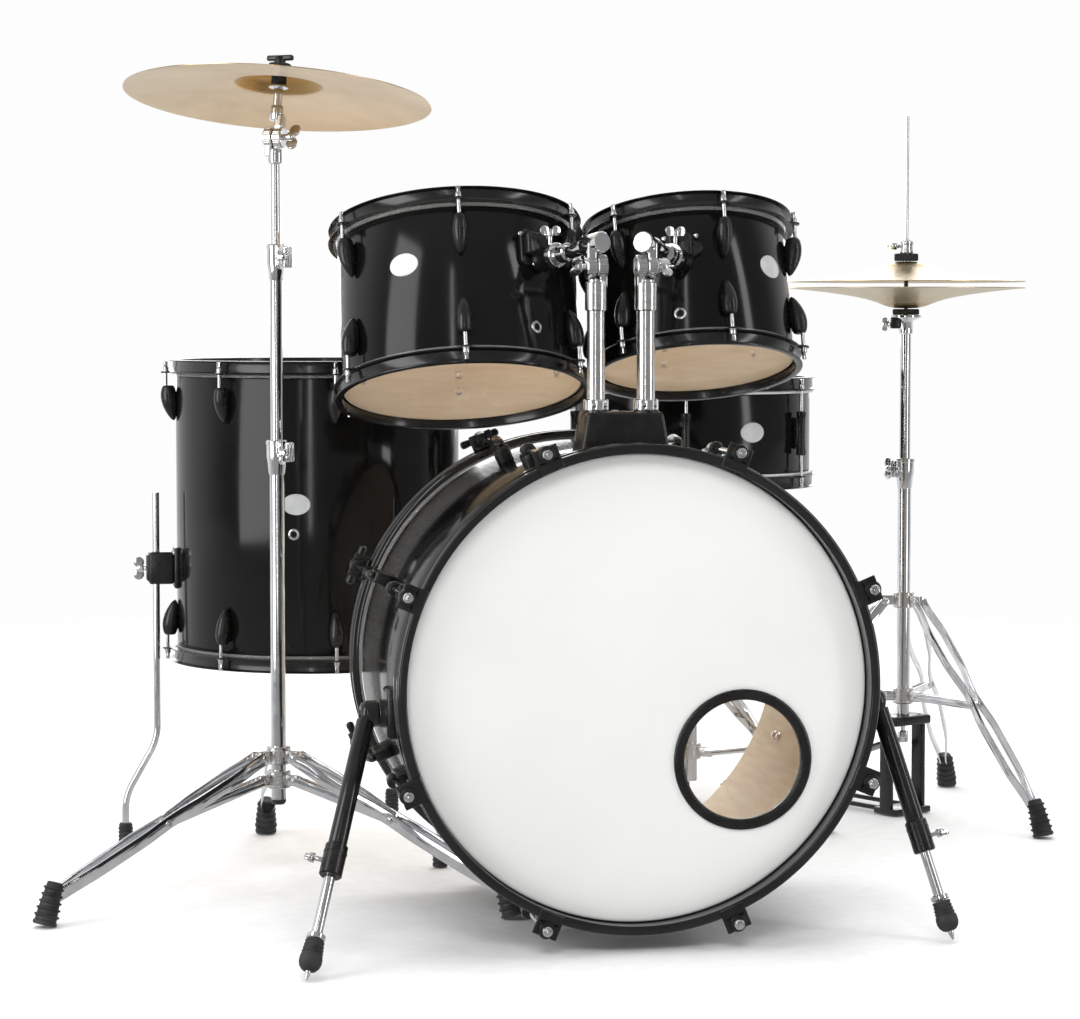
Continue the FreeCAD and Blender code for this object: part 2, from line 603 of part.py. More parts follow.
def crash_stand():
    x, y = CRASH
    lower = tube((x, y, 112), (x, y, 590), 10.0, 8.9)
    parts = [lower, clamp_collar(x, y, 556, 592, 14.5, 10.02, -35.0)]
    parts += tripod(x, y, (217.0, 312.0, 87.0), 395.0, 172.0, 140.0, 200.0, 10.0)
    write("crash_stand", parts)
    middle = tube((x, y, 470), (x, y, 846), 8.9 - GAP, 6.9)
    mid = join([middle, tube((x, y, 812), (x, y, 850), 11.5, 6.9)])
    ear = clamp_collar(x, y, 815, 848, 12.5, 6.9, -35.0)
    write("crash_middle_tube", [join([mid, ear])])
    upper = tube((x, y, 740), (x, y, 962), 6.5)
    fork = tube((x, y, 955), (x, y, 975), 10.0)
    cheek = tube((x - 13, y, CRASH_TILT_Z), (x - GAP, y, CRASH_TILT_Z), 14.0)
    neck = box(x - 13, x - 3, y - 8, y + 8, 965, CRASH_TILT_Z)
    bolt = tube((x - 4, y, CRASH_TILT_Z), (x + 18, y, CRASH_TILT_Z), 4.0)
    screw = wing((x + 16, y, CRASH_TILT_Z), (1, 0, 0), (0, 0.4, 1), 6, 4.0, 14.0, 12.0)
    clear = tube((x + 0.1, y, CRASH_TILT_Z), (x + 13.4, y, CRASH_TILT_Z), 16.0).cut(bolt)
    body = join([upper, fork, cheek, neck]).cut(clear)
    top = join([body, bolt, screw])
    top.rotate(V(x, y, 0), V(0, 0, 1), CRASH_TURN)
    write("crash_upper_tube", [top])

    def lean(shape):
        c = shape.copy()
        c.rotate(V(0, 0, 0), V(1, 0, 0), CRASH_BACK)
        c.rotate(V(0, 0, 0), V(0, 0, 1), CRASH_TURN)
        c.translate(V(x, y, CRASH_TILT_Z))
        return c
    knuckle = tube((GAP * 0.5, 0, 0), (13.0, 0, 0), 14.0)
    riser = bar((6.5, 0, 0), (4, 0, 30), 12.5, 14.0, (1, 0, 0))
    hub = tube((0, 0, 22), (0, 0, 42), 9.0)
    sleeve = tube((0, 0, 40), (0, 0, 66), 6.5)
    cup = tube((0, 0, 66), (0, 0, 69), 13.0)
    rod = tube((0, 0, 66), (0, 0, 106), 4.0)
    head_piece = join([knuckle, riser, hub, sleeve, cup, rod])
    head_piece = head_piece.cut(tube((-30, 0, 0), (30, 0, 0), 4.0 + GAP))
    head_piece = head_piece.cut(tube((-40, 0, 0), (GAP * 0.4, 0, 0), 14.0 + GAP))
    write("crash_tilter", [lean(head_piece)])
    plate = cymbal(CRASH_R, 58.0, 22.0, 18.0)
    plate.translate(V(0, 0, CRASH_EDGE))
    felts = [tube((0, 0, 69.3), (0, 0, 88.0), 10.0, 4.8), tube((0, 0, 93.9), (0, 0, 98.0), 15.0, 4.8)]
    write("crash_cymbal", [lean(plate)])
    nut = tube((0, 0, 98.4), (0, 0, 108), 7.5).fuse(box(-19, 19, -4, 4, 102, 110)).cut(
        tube((0, 0, 60), (0, 0, 106.5), 4.0 + 0.05))
    write("crash_wing_nut", [lean(s) for s in felts + [nut]])


# ---------- hi-hat ----------

HAT_HINGE = 250.0     # heel hinge from the tube


def hat_spin(shapes):
    out = []
    for s in shapes:
        c = s.copy()
        c.rotate(V(0, 0, 0), V(0, 0, 1), HAT_TURN)
        c.translate(V(HAT[0], HAT[1], 0))
        out.append(c)
    return out


def hi_hat():
    x, y = HAT
    lower = tube((x, y, 150), (x, y, 540), 10.0, 8.6)
    parts = [lower, clamp_collar(x, y, 505, 541, 14.5, 10.02, 250.0)]
    parts += tripod(x, y, (-62.0, 58.0, 178.0), 285.0, 326.0, 180.0, 150.0, 10.0)
    # black frame round the pull rod, toe block, ground plate and heel block
    top = box(-24, 24, -38, 38, 136, 150).cut(tube((0, 0, 100), (0, 0, 200), 5.0))
    sides = [box(-12, 12, 30, 38, 10, 136), box(-12, 12, -38, -30, 10, 136)]
    toe = box(-24, 24, -38, 38, 0, 10)
    runs = [bar((20, 28, 7), (HAT_HINGE + 10, 28, 7), 7.0, 7.0, (0, 1, 0)),
            bar((20, -28, 7), (HAT_HINGE + 10, -28, 7), 7.0, 7.0, (0, 1, 0))]
    heel = box(HAT_HINGE - 12, HAT_HINGE + 60, -42, 42, 0, 9)
    ears = [box(HAT_HINGE - 9, HAT_HINGE + 9, 34, 42, 9, 32), box(HAT_HINGE - 9, HAT_HINGE + 9, -42, -34, 9, 32)]
    axle = tube((HAT_HINGE, -42, 24), (HAT_HINGE, 42, 24), 3.0)
    frame = join([top] + sides + [toe] + runs + [heel] + ears + [axle])
    write("hihat_stand", parts + hat_spin([frame]))
    board = join([bar((HAT_HINGE + 6, 0, 24), (26, 0, 106), 50.0, 4.0, (0, 1, 0)),
                  tube((HAT_HINGE, -30, 24), (HAT_HINGE, 30, 24), 7.0),
                  tube((26, -12, 106), (26, 12, 106), 6.0)])
    board = board.cut(tube((HAT_HINGE, -50, 24), (HAT_HINGE, 50, 24), 3.0 + GAP))
    write("hihat_footboard", hat_spin([board]))
    upper = join([tube((x, y, 420), (x, y, 745), 8.6 - GAP, 5.0), tube((x, y, 728), (x, y, 752), 11.0, 5.0),
                  tube((x, y, 752), (x, y, 757), 24.0, 5.0)])
    felt = tube((x, y, 757.0), (x, y, 766), 20.0, 5.2)
    tilt = wing((x - 22, y, 742), (-1, 0, 0), (0, 1, 0), 6, 2.5, 8, 8)
    boss = box(x - 24, x - 9, y - 5, y + 5, 737, 755)
    write("hihat_upper_tube", [join([upper, boss, tilt]), felt])
    low = cymbal(HAT_R, 48.0, 18.0, 12.0)
    low.rotate(V(0, 0, 0), V(1, 0, 0), 180)
    low.translate(V(x, y, 798))
    write("hihat_lower_cymbal", [low])
    high = cymbal(HAT_R, 48.0, 18.0, 12.0)
    high.translate(V(x, y, 806.5))
    write("hihat_upper_cymbal", [high])
    rod = tube((x, y, 112), (x, y, 1056), 3.2)
    bell = 806.5 + 30.0
    clutch = [tube((x, y, bell - 16), (x, y, bell + 34), 6.0), tube((x, y, bell + 13), (x, y, bell + 32), 11.0),
              tube((x, y, bell - 16), (x, y, bell - 11), 10.0)]
    screw = wing((x - 8, y, bell + 24), (-1, 0, 0), (0, 0, 1), 10, 3.0)
    link = box(x - 7, x + 7, y - 7, y + 7, 108, 126)
    felts = [tube((x, y, bell + 1.6), (x, y, bell + 12.8), 18.0, 6.0), tube((x, y, bell - 11), (x, y, bell - 3.4), 14.0, 6.0)]
    write("hihat_pull_rod", [join([rod] + clutch + [screw, link])] + felts)


# ---------- bass pedal ----------

def bass_pedal():
    back = BASS_CENTRE[1] + HOOP_END
    plate = box(-45, 45, back + 14, 760, 0, 6)
    jaw = box(-28, 28, back - 36, back + 30, 10, 19.7)
    step = box(-28, 28, back + 12, back + 30, 0, 19.7)
    upper = box(-14, 14, back - 16, back + 30, 33.4, 41)
    riser = box(-14, 14, back + 5, back + 30, 19, 41)
    posts = [box(-48, -40, back + 20, back + 46, 0, 182), box(40, 48, back + 20, back + 46, 0, 182)]
    ears = [box(-45, -37, 716, 736, 6, 32), box(37, 45, 716, 736, 6, 32)]
    pin = tube((-45, 726, 24), (45, 726, 24), 3.0)
    axle = tube((-48, back + 33, 168), (48, back + 33, 168), 5.0)
    frame = join([plate, jaw, step, upper, riser] + posts + ears + [pin, axle])
    write("bass_pedal_frame", [frame])
    board = join([bar((0, 732, 24), (0, back + 60, 92), 68.0, 5.0, (1, 0, 0)), tube((-33, 726, 24), (33, 726, 24), 7.0)])
    board = board.cut(tube((-50, 726, 24), (50, 726, 24), 3.0 + GAP))
    write("bass_pedal_board", [board])
    y = back + 33
    hub = tube((-20, y, 168), (20, y, 168), 12.0)
    cam = tube((4, y, 168), (16, y, 168), 26.0)
    lean = math.radians(42)
    tip = (0, y + 178 * math.sin(lean), 168 + 178 * math.cos(lean))
    rod = tube((0, y, 168), tip, 4.0)
    side = V(0, math.cos(lean), -math.sin(lean))
    felt = tube(tuple(V(*tip) - side * 24), tuple(V(*tip) + side * 24), 20.0)
    beater = join([hub, cam, rod, felt]).cut(tube((-60, y, 168), (60, y, 168), 5.0 + GAP))
    write("bass_pedal_beater", [beater])


os.makedirs("parts", exist_ok=True)
bass_drum()
spurs()
tom_support("tom12", -POST_X, -1)
tom_support("tom10", POST_X, 1)
tom("tom12", TOM12, -62.0, 40.0, tuple(arm_way("tom12", -POST_X)), (-125.0, 22.0), (-61.0, -60.0))
tom("tom10", TOM10, -108.0, 26.0, tuple(arm_way("tom10", POST_X)), (-50.0, 12.0), (-111.0, -56.0))
floor_tom()
snare()
snare_stand()
crash_stand()
hi_hat()
bass_pedal()
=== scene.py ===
import bpy
import bmesh
import json
import math
from mathutils import Matrix, Vector

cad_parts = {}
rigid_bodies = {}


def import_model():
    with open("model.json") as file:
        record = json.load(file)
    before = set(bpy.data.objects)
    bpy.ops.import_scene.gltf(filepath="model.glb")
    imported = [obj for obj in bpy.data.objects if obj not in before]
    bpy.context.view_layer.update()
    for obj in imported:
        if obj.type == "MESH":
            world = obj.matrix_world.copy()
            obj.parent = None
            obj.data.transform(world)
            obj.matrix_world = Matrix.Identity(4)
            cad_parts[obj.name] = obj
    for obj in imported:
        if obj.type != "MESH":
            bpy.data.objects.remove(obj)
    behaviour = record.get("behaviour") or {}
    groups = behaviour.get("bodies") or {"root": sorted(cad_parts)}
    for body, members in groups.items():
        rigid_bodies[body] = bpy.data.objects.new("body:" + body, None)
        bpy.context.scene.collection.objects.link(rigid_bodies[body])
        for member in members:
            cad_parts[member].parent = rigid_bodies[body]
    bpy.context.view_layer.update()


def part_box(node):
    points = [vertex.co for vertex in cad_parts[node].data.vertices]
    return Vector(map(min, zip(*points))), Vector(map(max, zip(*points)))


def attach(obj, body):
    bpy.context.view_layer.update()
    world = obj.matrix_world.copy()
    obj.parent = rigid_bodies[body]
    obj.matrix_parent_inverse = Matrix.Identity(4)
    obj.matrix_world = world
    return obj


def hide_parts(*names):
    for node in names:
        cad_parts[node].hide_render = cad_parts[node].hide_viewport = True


for spare in list(bpy.data.objects):
    bpy.data.objects.remove(spare)
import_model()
print("frame loaded")

mm = 0.001


# finishes

def newFinish(name):
    finish = bpy.data.materials.new(name)
    finish.use_nodes = True
    tree = finish.node_tree
    shader = tree.nodes["Principled BSDF"]
    coords = tree.nodes.new("ShaderNodeTexCoord")
    return finish, tree.nodes, tree.links, shader, coords


def noiseInto(nodes, links, source, scale, detail=4.0, stretch=(1, 1, 1)):
    mapping = nodes.new("ShaderNodeMapping")
    mapping.inputs["Scale"].default_value = stretch
    links.new(source, mapping.inputs["Vector"])
    noise = nodes.new("ShaderNodeTexNoise")
    noise.inputs["Scale"].default_value = scale
    noise.inputs["Detail"].default_value = detail
    links.new(mapping.outputs["Vector"], noise.inputs["Vector"])
    return noise.outputs["Fac"]


def blendColours(nodes, links, fac, first, second, shader, low=0.35, high=0.65):
    ramp = nodes.new("ShaderNodeValToRGB")
    ramp.color_ramp.elements[0].position = low
    ramp.color_ramp.elements[1].position = high
    ramp.color_ramp.elements[0].color = (*first, 1)
    ramp.color_ramp.elements[1].color = (*second, 1)
    links.new(fac, ramp.inputs["Fac"])
    links.new(ramp.outputs["Color"], shader.inputs["Base Color"])


def spreadRoughness(nodes, links, fac, low, high, shader):
    span = nodes.new("ShaderNodeMapRange")
    span.inputs["From Min"].default_value = 0.3
    span.inputs["From Max"].default_value = 0.7
    span.inputs["To Min"].default_value = low
    span.inputs["To Max"].default_value = high
    links.new(fac, span.inputs["Value"])
    links.new(span.outputs["Result"], shader.inputs["Roughness"])


def bumpFrom(nodes, links, fac, strength, distance, shader):
    bump = nodes.new("ShaderNodeBump")
    bump.inputs["Strength"].default_value = strength
    bump.inputs["Distance"].default_value = distance
    links.new(fac, bump.inputs["Height"])
    links.new(bump.outputs["Normal"], shader.inputs["Normal"])


def mixedFinish(name, look):
    finish, nodes, links, shader, coords = newFinish(name)
    source = coords.outputs["Object"]
    tone = noiseInto(nodes, links, source, look["toneScale"], 4.0, look.get("stretch", (1, 1, 1)))
    blendColours(nodes, links, tone, look["dark"], look["light"], shader)
    wear = noiseInto(nodes, links, source, look["wearScale"], 6.0)
    spreadRoughness(nodes, links, wear, look["rough"][0], look["rough"][1], shader)
    if look.get("bump"):
        grain = noiseInto(nodes, links, source, look["grainScale"], 3.0, look.get("stretch", (1, 1, 1)))
        bumpFrom(nodes, links, grain, look["bump"], look.get("depth", 0.0004), shader)
    shader.inputs["Metallic"].default_value = look.get("metallic", 0.0)
    shader.inputs["Coat Weight"].default_value = look.get("coat", 0.0)
    shader.inputs["Coat Roughness"].default_value = look.get("coatRough", 0.03)
    shader.inputs["Specular IOR Level"].default_value = look.get("specular", 0.5)
    if "alpha" in look:
        shader.inputs["Alpha"].default_value = look["alpha"]
    return finish


finishLooks = {
    "lacquerBlack": {"dark": (0.003, 0.0028, 0.0026), "light": (0.006, 0.0056, 0.0052), "toneScale": 6,
                     "wearScale": 9,
                     "rough": (0.09, 0.15), "specular": 0.34, "grainScale": 7, "bump": 0.015, "depth": 0.0004},
    "hoopBlack": {"dark": (0.004, 0.0038, 0.0036), "light": (0.009, 0.0086, 0.0082), "toneScale": 12, "wearScale": 30,
                  "rough": (0.1, 0.18), "coat": 0.3, "grainScale": 9, "bump": 0.02},
    "steelBlack": {"dark": (0.004, 0.0037, 0.0034), "light": (0.009, 0.0085, 0.008), "toneScale": 25, "wearScale": 60,
                   "rough": (0.16, 0.28), "coat": 0.2, "grainScale": 500, "bump": 0.03},
    "castBlack": {"dark": (0.0035, 0.0033, 0.0031), "light": (0.008, 0.0076, 0.0072), "toneScale": 40,
                  "wearScale": 80,
                  "rough": (0.22, 0.34), "coat": 0.1, "grainScale": 900, "bump": 0.06},
    "chrome": {"dark": (0.74, 0.75, 0.77), "light": (0.9, 0.9, 0.91), "toneScale": 30, "wearScale": 50,
               "rough": (0.04, 0.12), "metallic": 1.0, "grainScale": 700, "bump": 0.01},
    "brushedChrome": {"dark": (0.66, 0.65, 0.64), "light": (0.86, 0.85, 0.84), "toneScale": 60, "wearScale": 40,
                      "rough": (0.16, 0.26), "metallic": 1.0, "grainScale": 400, "bump": 0.05,
                      "stretch": (1, 1, 14)},
    "filmWhite": {"dark": (0.68, 0.68, 0.67), "light": (0.73, 0.73, 0.72), "toneScale": 3, "wearScale": 300,
                  "rough": (0.34, 0.46), "grainScale": 1400, "bump": 0.1, "depth": 0.0003},
    "filmClear": {"dark": (0.84, 0.82, 0.78), "light": (0.95, 0.94, 0.92), "toneScale": 4, "wearScale": 20,
                  "rough": (0.05, 0.12), "alpha": 0.12, "specular": 0.9, "grainScale": 12, "bump": 0.02},
    "rubberBlack": {"dark": (0.012, 0.012, 0.012), "light": (0.03, 0.03, 0.03), "toneScale": 60, "wearScale": 120,
                    "rough": (0.5, 0.7), "grainScale": 900, "bump": 0.15},
    "feltBlack": {"dark": (0.01, 0.01, 0.01), "light": (0.035, 0.035, 0.035), "toneScale": 300, "wearScale": 400,
                  "rough": (0.85, 0.98), "grainScale": 1200, "bump": 0.5},
    "feltGrey": {"dark": (0.3, 0.28, 0.26), "light": (0.5, 0.48, 0.45), "toneScale": 300, "wearScale": 400,
                 "rough": (0.85, 0.98), "grainScale": 1200, "bump": 0.5},
    "badgeSilver": {"dark": (0.5, 0.51, 0.52), "light": (0.6, 0.61, 0.62), "toneScale": 60, "wearScale": 120,
                    "rough": (0.34, 0.44), "metallic": 0.25, "grainScale": 800, "bump": 0.03},
}
finishes = {name: mixedFinish(name, look) for name, look in finishLooks.items()}


def plyFinish():
    # pale timber ply with bands of grain round the shell
    finish, nodes, links, shader, coords = newFinish("plyTimber")
    source = coords.outputs["Object"]
    bands = noiseInto(nodes, links, source, 14, 6.0, (1, 1, 9))
    blendColours(nodes, links, bands, (0.8, 0.61, 0.39), (0.92, 0.76, 0.54), shader, 0.3, 0.7)
    pores = noiseInto(nodes, links, source, 160, 3.0, (1, 1, 6))
    spreadRoughness(nodes, links, pores, 0.42, 0.62, shader)
    bumpFrom(nodes, links, pores, 0.12, 0.0003, shader)
    return finish


def cymbalFinish(name, place, dark, light, bell, bellRadius):
    # lathed bronze: fine grooves round the cymbal's own axis, and a darker bell colour that is painted shade of the
    # bell's hollow
    finish, nodes, links, shader, coords = newFinish(name)
    back = place.inverted()
    mapping = nodes.new("ShaderNodeMapping")
    mapping.inputs["Location"].default_value = back.to_translation()
    mapping.inputs["Rotation"].default_value = back.to_euler()
    links.new(coords.outputs["Object"], mapping.inputs["Vector"])
    grooves = nodes.new("ShaderNodeTexWave")
    grooves.wave_type = "RINGS"
    grooves.rings_direction = "Z"
    grooves.inputs["Scale"].default_value = 130.0
    grooves.inputs["Distortion"].default_value = 1.2
    grooves.inputs["Detail"].default_value = 3.0
    grooves.inputs["Detail Scale"].default_value = 2.0
    links.new(mapping.outputs["Vector"], grooves.inputs["Vector"])
    tone = noiseInto(nodes, links, mapping.outputs["Vector"], 9, 5.0)
    both = nodes.new("ShaderNodeMath")
    both.operation = "MULTIPLY_ADD"
    both.inputs[1].default_value = 0.35
    links.new(grooves.outputs["Fac"], both.inputs[0])
    links.new(tone, both.inputs[2])
    blendColours(nodes, links, both.outputs[0], dark, light, shader, 0.4, 0.95)
    flat = nodes.new("ShaderNodeVectorMath")
    flat.operation = "MULTIPLY"
    flat.inputs[1].default_value = (1, 1, 0)
    links.new(mapping.outputs["Vector"], flat.inputs[0])
    away = nodes.new("ShaderNodeVectorMath")
    away.operation = "LENGTH"
    links.new(flat.outputs["Vector"], away.inputs[0])
    # mask of the bell by radius: inside it the colour turns to the darker bell colour, painted shade of the bell's
    # hollow
    bellShadeMask = nodes.new("ShaderNodeMapRange")
    bellShadeMask.interpolation_type = "SMOOTHSTEP"
    bellShadeMask.inputs["From Min"].default_value = (bellRadius + 1.5) * mm
    bellShadeMask.inputs["From Max"].default_value = (bellRadius - 1.5) * mm
    links.new(away.outputs["Value"], bellShadeMask.inputs["Value"])
    bellShadeMix = nodes.new("ShaderNodeMix")
    bellShadeMix.data_type = "RGBA"
    links.new(bellShadeMask.outputs["Result"], bellShadeMix.inputs[0])
    links.new(shader.inputs["Base Color"].links[0].from_socket, bellShadeMix.inputs[6])
    bellShadeMix.inputs[7].default_value = (*bell, 1)
    links.new(bellShadeMix.outputs[2], shader.inputs["Base Color"])
    spreadRoughness(nodes, links, both.outputs[0], 0.22, 0.36, shader)
    bumpFrom(nodes, links, grooves.outputs["Fac"], 0.25, 0.0002, shader)
    shader.inputs["Metallic"].default_value = 1.0
    return finish


finishes["plyTimber"] = plyFinish()
print("finishes ready")


# shaping helpers

def softEdges(bm, width, segments=2, angle=32.0):
    limit = math.radians(angle)
    bm.normal_update()
    sharp = [e for e in bm.edges if len(e.link_faces) == 2 and e.calc_face_angle(0) > limit]
    bmesh.ops.bevel(bm, geom=sharp, offset=width, offset_type="OFFSET", affect="EDGES", segments=segments,
                    profile=0.5, material=-1, clamp_overlap=True)
    return bm


def lathe(profile, steps=64):
    bm = bmesh.new()
    verts = [bm.verts.new((r * mm, 0, z * mm)) for r, z in profile]
    pairs = list(zip(verts, verts[1:]))
    if profile[0][0] or profile[-1][0]:
        pairs.append((verts[-1], verts[0]))
    edges = [bm.edges.new(pair) for pair in pairs]
    bmesh.ops.spin(bm, geom=verts + edges, cent=(0, 0, 0), axis=(0, 0, 1), angle=2 * math.pi, steps=steps,
                   use_merge=True, use_duplicate=False)
    bmesh.ops.remove_doubles(bm, verts=bm.verts, dist=1e-6)
    bmesh.ops.recalc_face_normals(bm, faces=bm.faces)
    return bm


def along(p, q):
    p, q = Vector(p), Vector(q)
    return Matrix.Translation((p + q) / 2) @ (q - p).to_track_quat("Z", "Y").to_matrix().to_4x4()


def rod(p, q, radius, end=None, segments=28, soft=0.0):
    # round bar from p to q, all in mm
    p, q = Vector(p) * mm, Vector(q) * mm
    bm = bmesh.new()
    bmesh.ops.create_cone(bm, cap_ends=True, segments=segments, radius1=radius * mm,
                          radius2=(radius if end is None else end) * mm, depth=(q - p).length, matrix=along(p, q))
    if soft:
        softEdges(bm, soft * mm, 2, 50)
    return bm


def ring(p, q, radius, bore, soft=0.4, segments=40):
    # collar or sleeve with a real bore
    p, q = Vector(p) * mm, Vector(q) * mm
    half = (q - p).length / 2 / mm
    s = soft
    profile = [(bore, -half), (radius - s, -half), (radius, -half + s), (radius, half - s), (radius - s, half),
               (bore, half)]
    bm = lathe(profile, segments)
    bm.transform(along(p, q))
    return bm


def slab(size, place, soft=0.6, segments=2):
    bm = bmesh.new()
    bmesh.ops.create_cube(bm, size=1.0, matrix=place @ Matrix.Diagonal((*[s * mm for s in size], 1)))
    return softEdges(bm, soft * mm, segments, 50) if soft else bm


def at(x, y, z):
    return Matrix.Translation(Vector((x, y, z)) * mm)


def turned(angle, axis="Z"):
    return Matrix.Rotation(math.radians(angle), 4, axis)


def gather(shapes):
    whole = bmesh.new()
    for shape in shapes:
        mesh = bpy.data.meshes.new("part")
        shape.to_mesh(mesh)
        whole.from_mesh(mesh)
        bpy.data.meshes.remove(mesh)
        shape.free()
    return whole


def repeat(shape, places):
    mesh = bpy.data.meshes.new("part")
    shape.to_mesh(mesh)
    whole = bmesh.new()
    for place in places:
        copy = mesh.copy()
        copy.transform(place)
        whole.from_mesh(copy)
        bpy.data.meshes.remove(copy)
    bpy.data.meshes.remove(mesh)
    shape.free()
    return whole


def moved(shape, place):
    shape.transform(place)
    return shape


def put(name, bm, finish, body, nodes=(), crease=38.0, normals=True):
    if normals:
        bmesh.ops.recalc_face_normals(bm, faces=bm.faces)
    mesh = bpy.data.meshes.new(name)
    bm.to_mesh(mesh)
    bm.free()
    for one in (finish if isinstance(finish, list) else [finish]):
        mesh.materials.append(finishes[one])
    mesh.shade_smooth()
    mesh.set_sharp_from_angle(angle=math.radians(crease))
    piece = bpy.data.objects.new(name, mesh)
    bpy.context.scene.collection.objects.link(piece)
    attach(piece, body)
    if nodes:
        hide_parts(*nodes)
    return piece


def wingScrew(reach=12.0, span=15.0, shank=3.0, blade=12.0):
    # thumb screw standing on z = 0: shank, hub and two cupped blades
    shapes = [rod((0, 0, -2), (0, 0, reach), shank, segments=20, soft=0.4)]
    hub = [(0, 0), (shank + 2.4, 0), (shank + 2.8, 0.8), (shank + 2.4, 6), (shank + 0.8, 8.5), (0, 9)]
    shapes.append(moved(lathe(hub, 28), at(0, 0, reach - 2)))
    for side in (-1, 1):
        bladeBm = bmesh.new()
        bmesh.ops.create_circle(bladeBm, cap_ends=True, segments=20, radius=1.0)
        bmesh.ops.scale(bladeBm, verts=bladeBm.verts, vec=(span * 0.52 * mm, blade * 0.62 * mm, 1))
        faces = bmesh.ops.extrude_face_region(bladeBm, geom=list(bladeBm.faces))
        lifted = [g for g in faces["geom"] if isinstance(g, bmesh.types.BMVert)]
        bmesh.ops.translate(bladeBm, verts=lifted, vec=(0, 0, 3.4 * mm))
        bmesh.ops.recalc_face_normals(bladeBm, faces=bladeBm.faces)
        softEdges(bladeBm, 1.0 * mm, 3, 50)
        bladeBm.transform(at(side * (span * 0.52 + 1), 0, reach + 3 + span * 0.1) @ turned(-side * 16, "Y")
                          @ turned(90, "X") @ at(0, 0, -1.7))
        shapes.append(bladeBm)
    return gather(shapes)


def facing(p, direction, spin=0.0):
    # stand a part made on z = 0 at p, mm, along direction
    turn = Vector(direction).to_track_quat("Z", "Y").to_matrix().to_4x4()
    return Matrix.Translation(Vector(p) * mm) @ turn @ turned(spin)


def centreOf(node):
    low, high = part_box(node)
    return (Vector(low) + Vector(high)) / 2


# drum parts, axis along z round the origin, sizes in mm

def drumShell(d):
    # lacquered outside, bare ply inside and on the bearing edges
    r, h, w = d["radius"], d["half"], d["wall"]
    bm = lathe([(r - w, -h + 6), (r - 2.6, -h), (r - 1.2, -h), (r, -h + 2), (r, h - 2), (r - 1.2, h), (r - 2.6, h),
                (r - w, h - 6)], 180)
    for face in bm.faces:
        centre = face.calc_center_median()
        outward = face.normal.x * centre.x + face.normal.y * centre.y
        outside = outward > 0 and abs(face.normal.z) < 0.9 and centre.xy.length > (r - 1.3) * mm
        face.material_index = 0 if outside else 1
    return bm


def drumHead(r, z, up, drop):
    # film drawn over the edge to a flesh hoop
    curve = [(0, 0.5), (r - 4, 0.5), (r - 1, 0.2), (r + 0.5, -0.7), (r + 1.0, -2.2), (r + 1.0, 4 - drop),
             (r + 4.4, 4 - drop), (r + 5, 3.4 - drop), (r + 5, 0.6 - drop), (r + 4.4, -drop), (r + 0.3, -drop),
             (r + 0.3, -2.4), (r - 0.2, -1.2), (r - 1.6, -0.3), (r - 4.6, 0), (0, 0)]
    return lathe([(a, z + b * up) for a, b in curve], 160)


def flangedHoop(d, up):
    # pressed hoop: ear flange, wall and rolled lip
    r, z, lip = d["radius"], d["half"] * up, d["lip"]
    curve = [(1.5, -7.3), (2.2, -8), (lip - 0.9, -8), (lip, -7.2), (lip - 0.7, -6.2), (6.6, -5.8), (4.9, -4.9),
             (4.3, -3.2), (3.7, 6.2), (4.4, 8.2), (6.0, 9.1), (lip - 2.2, 9.2), (lip - 1, 9.7), (lip - 1.1, 10.6),
             (lip - 2.2, 11), (3.4, 11), (2.0, 10.6), (1.5, 9.6)]
    shapes = [lathe([(r + a, z + b * up) for a, b in curve], 180)]
    off = d["off"]
    ear = gather([ring((r + off, 0, z - 8 * up), (r + off, 0, z - 5.6 * up), 7.0, 2.9, 0.7, 32),
                  slab((9, 21, 2.1), at(r + off - 4.6, 0, z - 6.9 * up), 0.8, 3)])
    shapes.append(repeat(ear, [turned(a) for a in rodAngles(d)]))
    return gather(shapes)


def rodAngles(d):
    return [d["turn"] + 360.0 / d["lugs"] * i for i in range(d["lugs"])]


def tensionRod(d, up, inner):
    # rod, washer, collar and square key head
    x, z = d["radius"] + d["off"], d["half"] * up
    shapes = [rod((x, 0, z - inner * up), (x, 0, z - 5 * up), 2.6, segments=16),
              ring((x, 0, z - 6 * up), (x, 0, z - 4.6 * up), 5.2, 2.4, 0.3, 24)]
    collar = [(0, 0), (3.6, 0), (4.1, 0.6), (4.1, 4.4), (3.3, 5.6), (2.6, 6.5), (0, 6.5)]
    shapes.append(moved(lathe(collar, 24), facing((x, 0, z - 4.6 * up), (0, 0, up))))
    shapes.append(slab((5.4, 5.4, 7.6), at(x, 0, z + 5.2 * up), 0.7))
    return gather(shapes)


def tearLug(d, up, near=26.0):
    # cast teardrop, full at the rod and drawn back onto the shell at its point
    r, z = d["radius"], d["half"] * up
    drop = [(0, -0.4), (5.4, -0.4), (6.8, 0.6), (8.4, 4), (9.6, 10), (10.1, 16), (9.9, 22), (9.0, 29), (7.3, 36),
            (5.2, 42), (2.9, 47), (0, 49.6)]
    body = lathe(drop, 44)
    for v in body.verts:
        v.co.x = v.co.x * 1.14 - v.co.z * 0.15 * (v.co.z / (50 * mm))
    return moved(body, at(r + d["off"] - 3.6, 0, z - near * up) @ Matrix.Diagonal((1, 1, -up, 1)))


def lugBolts(d, spots):
    # screw heads and washers on the inside wall behind each lug
    inside = d["radius"] - d["wall"]
    shapes = []
    for z in spots:
        shapes.append(moved(lathe([(0, 0), (6.2, 0), (6.2, 0.9), (4.2, 1.2), (4.0, 3.0), (3.2, 3.8), (0, 4.1)], 24),
                            facing((inside + 0.2, 0, z), (-1, 0, 0))))
    return repeat(gather(shapes), [turned(a) for a in rodAngles(d)])


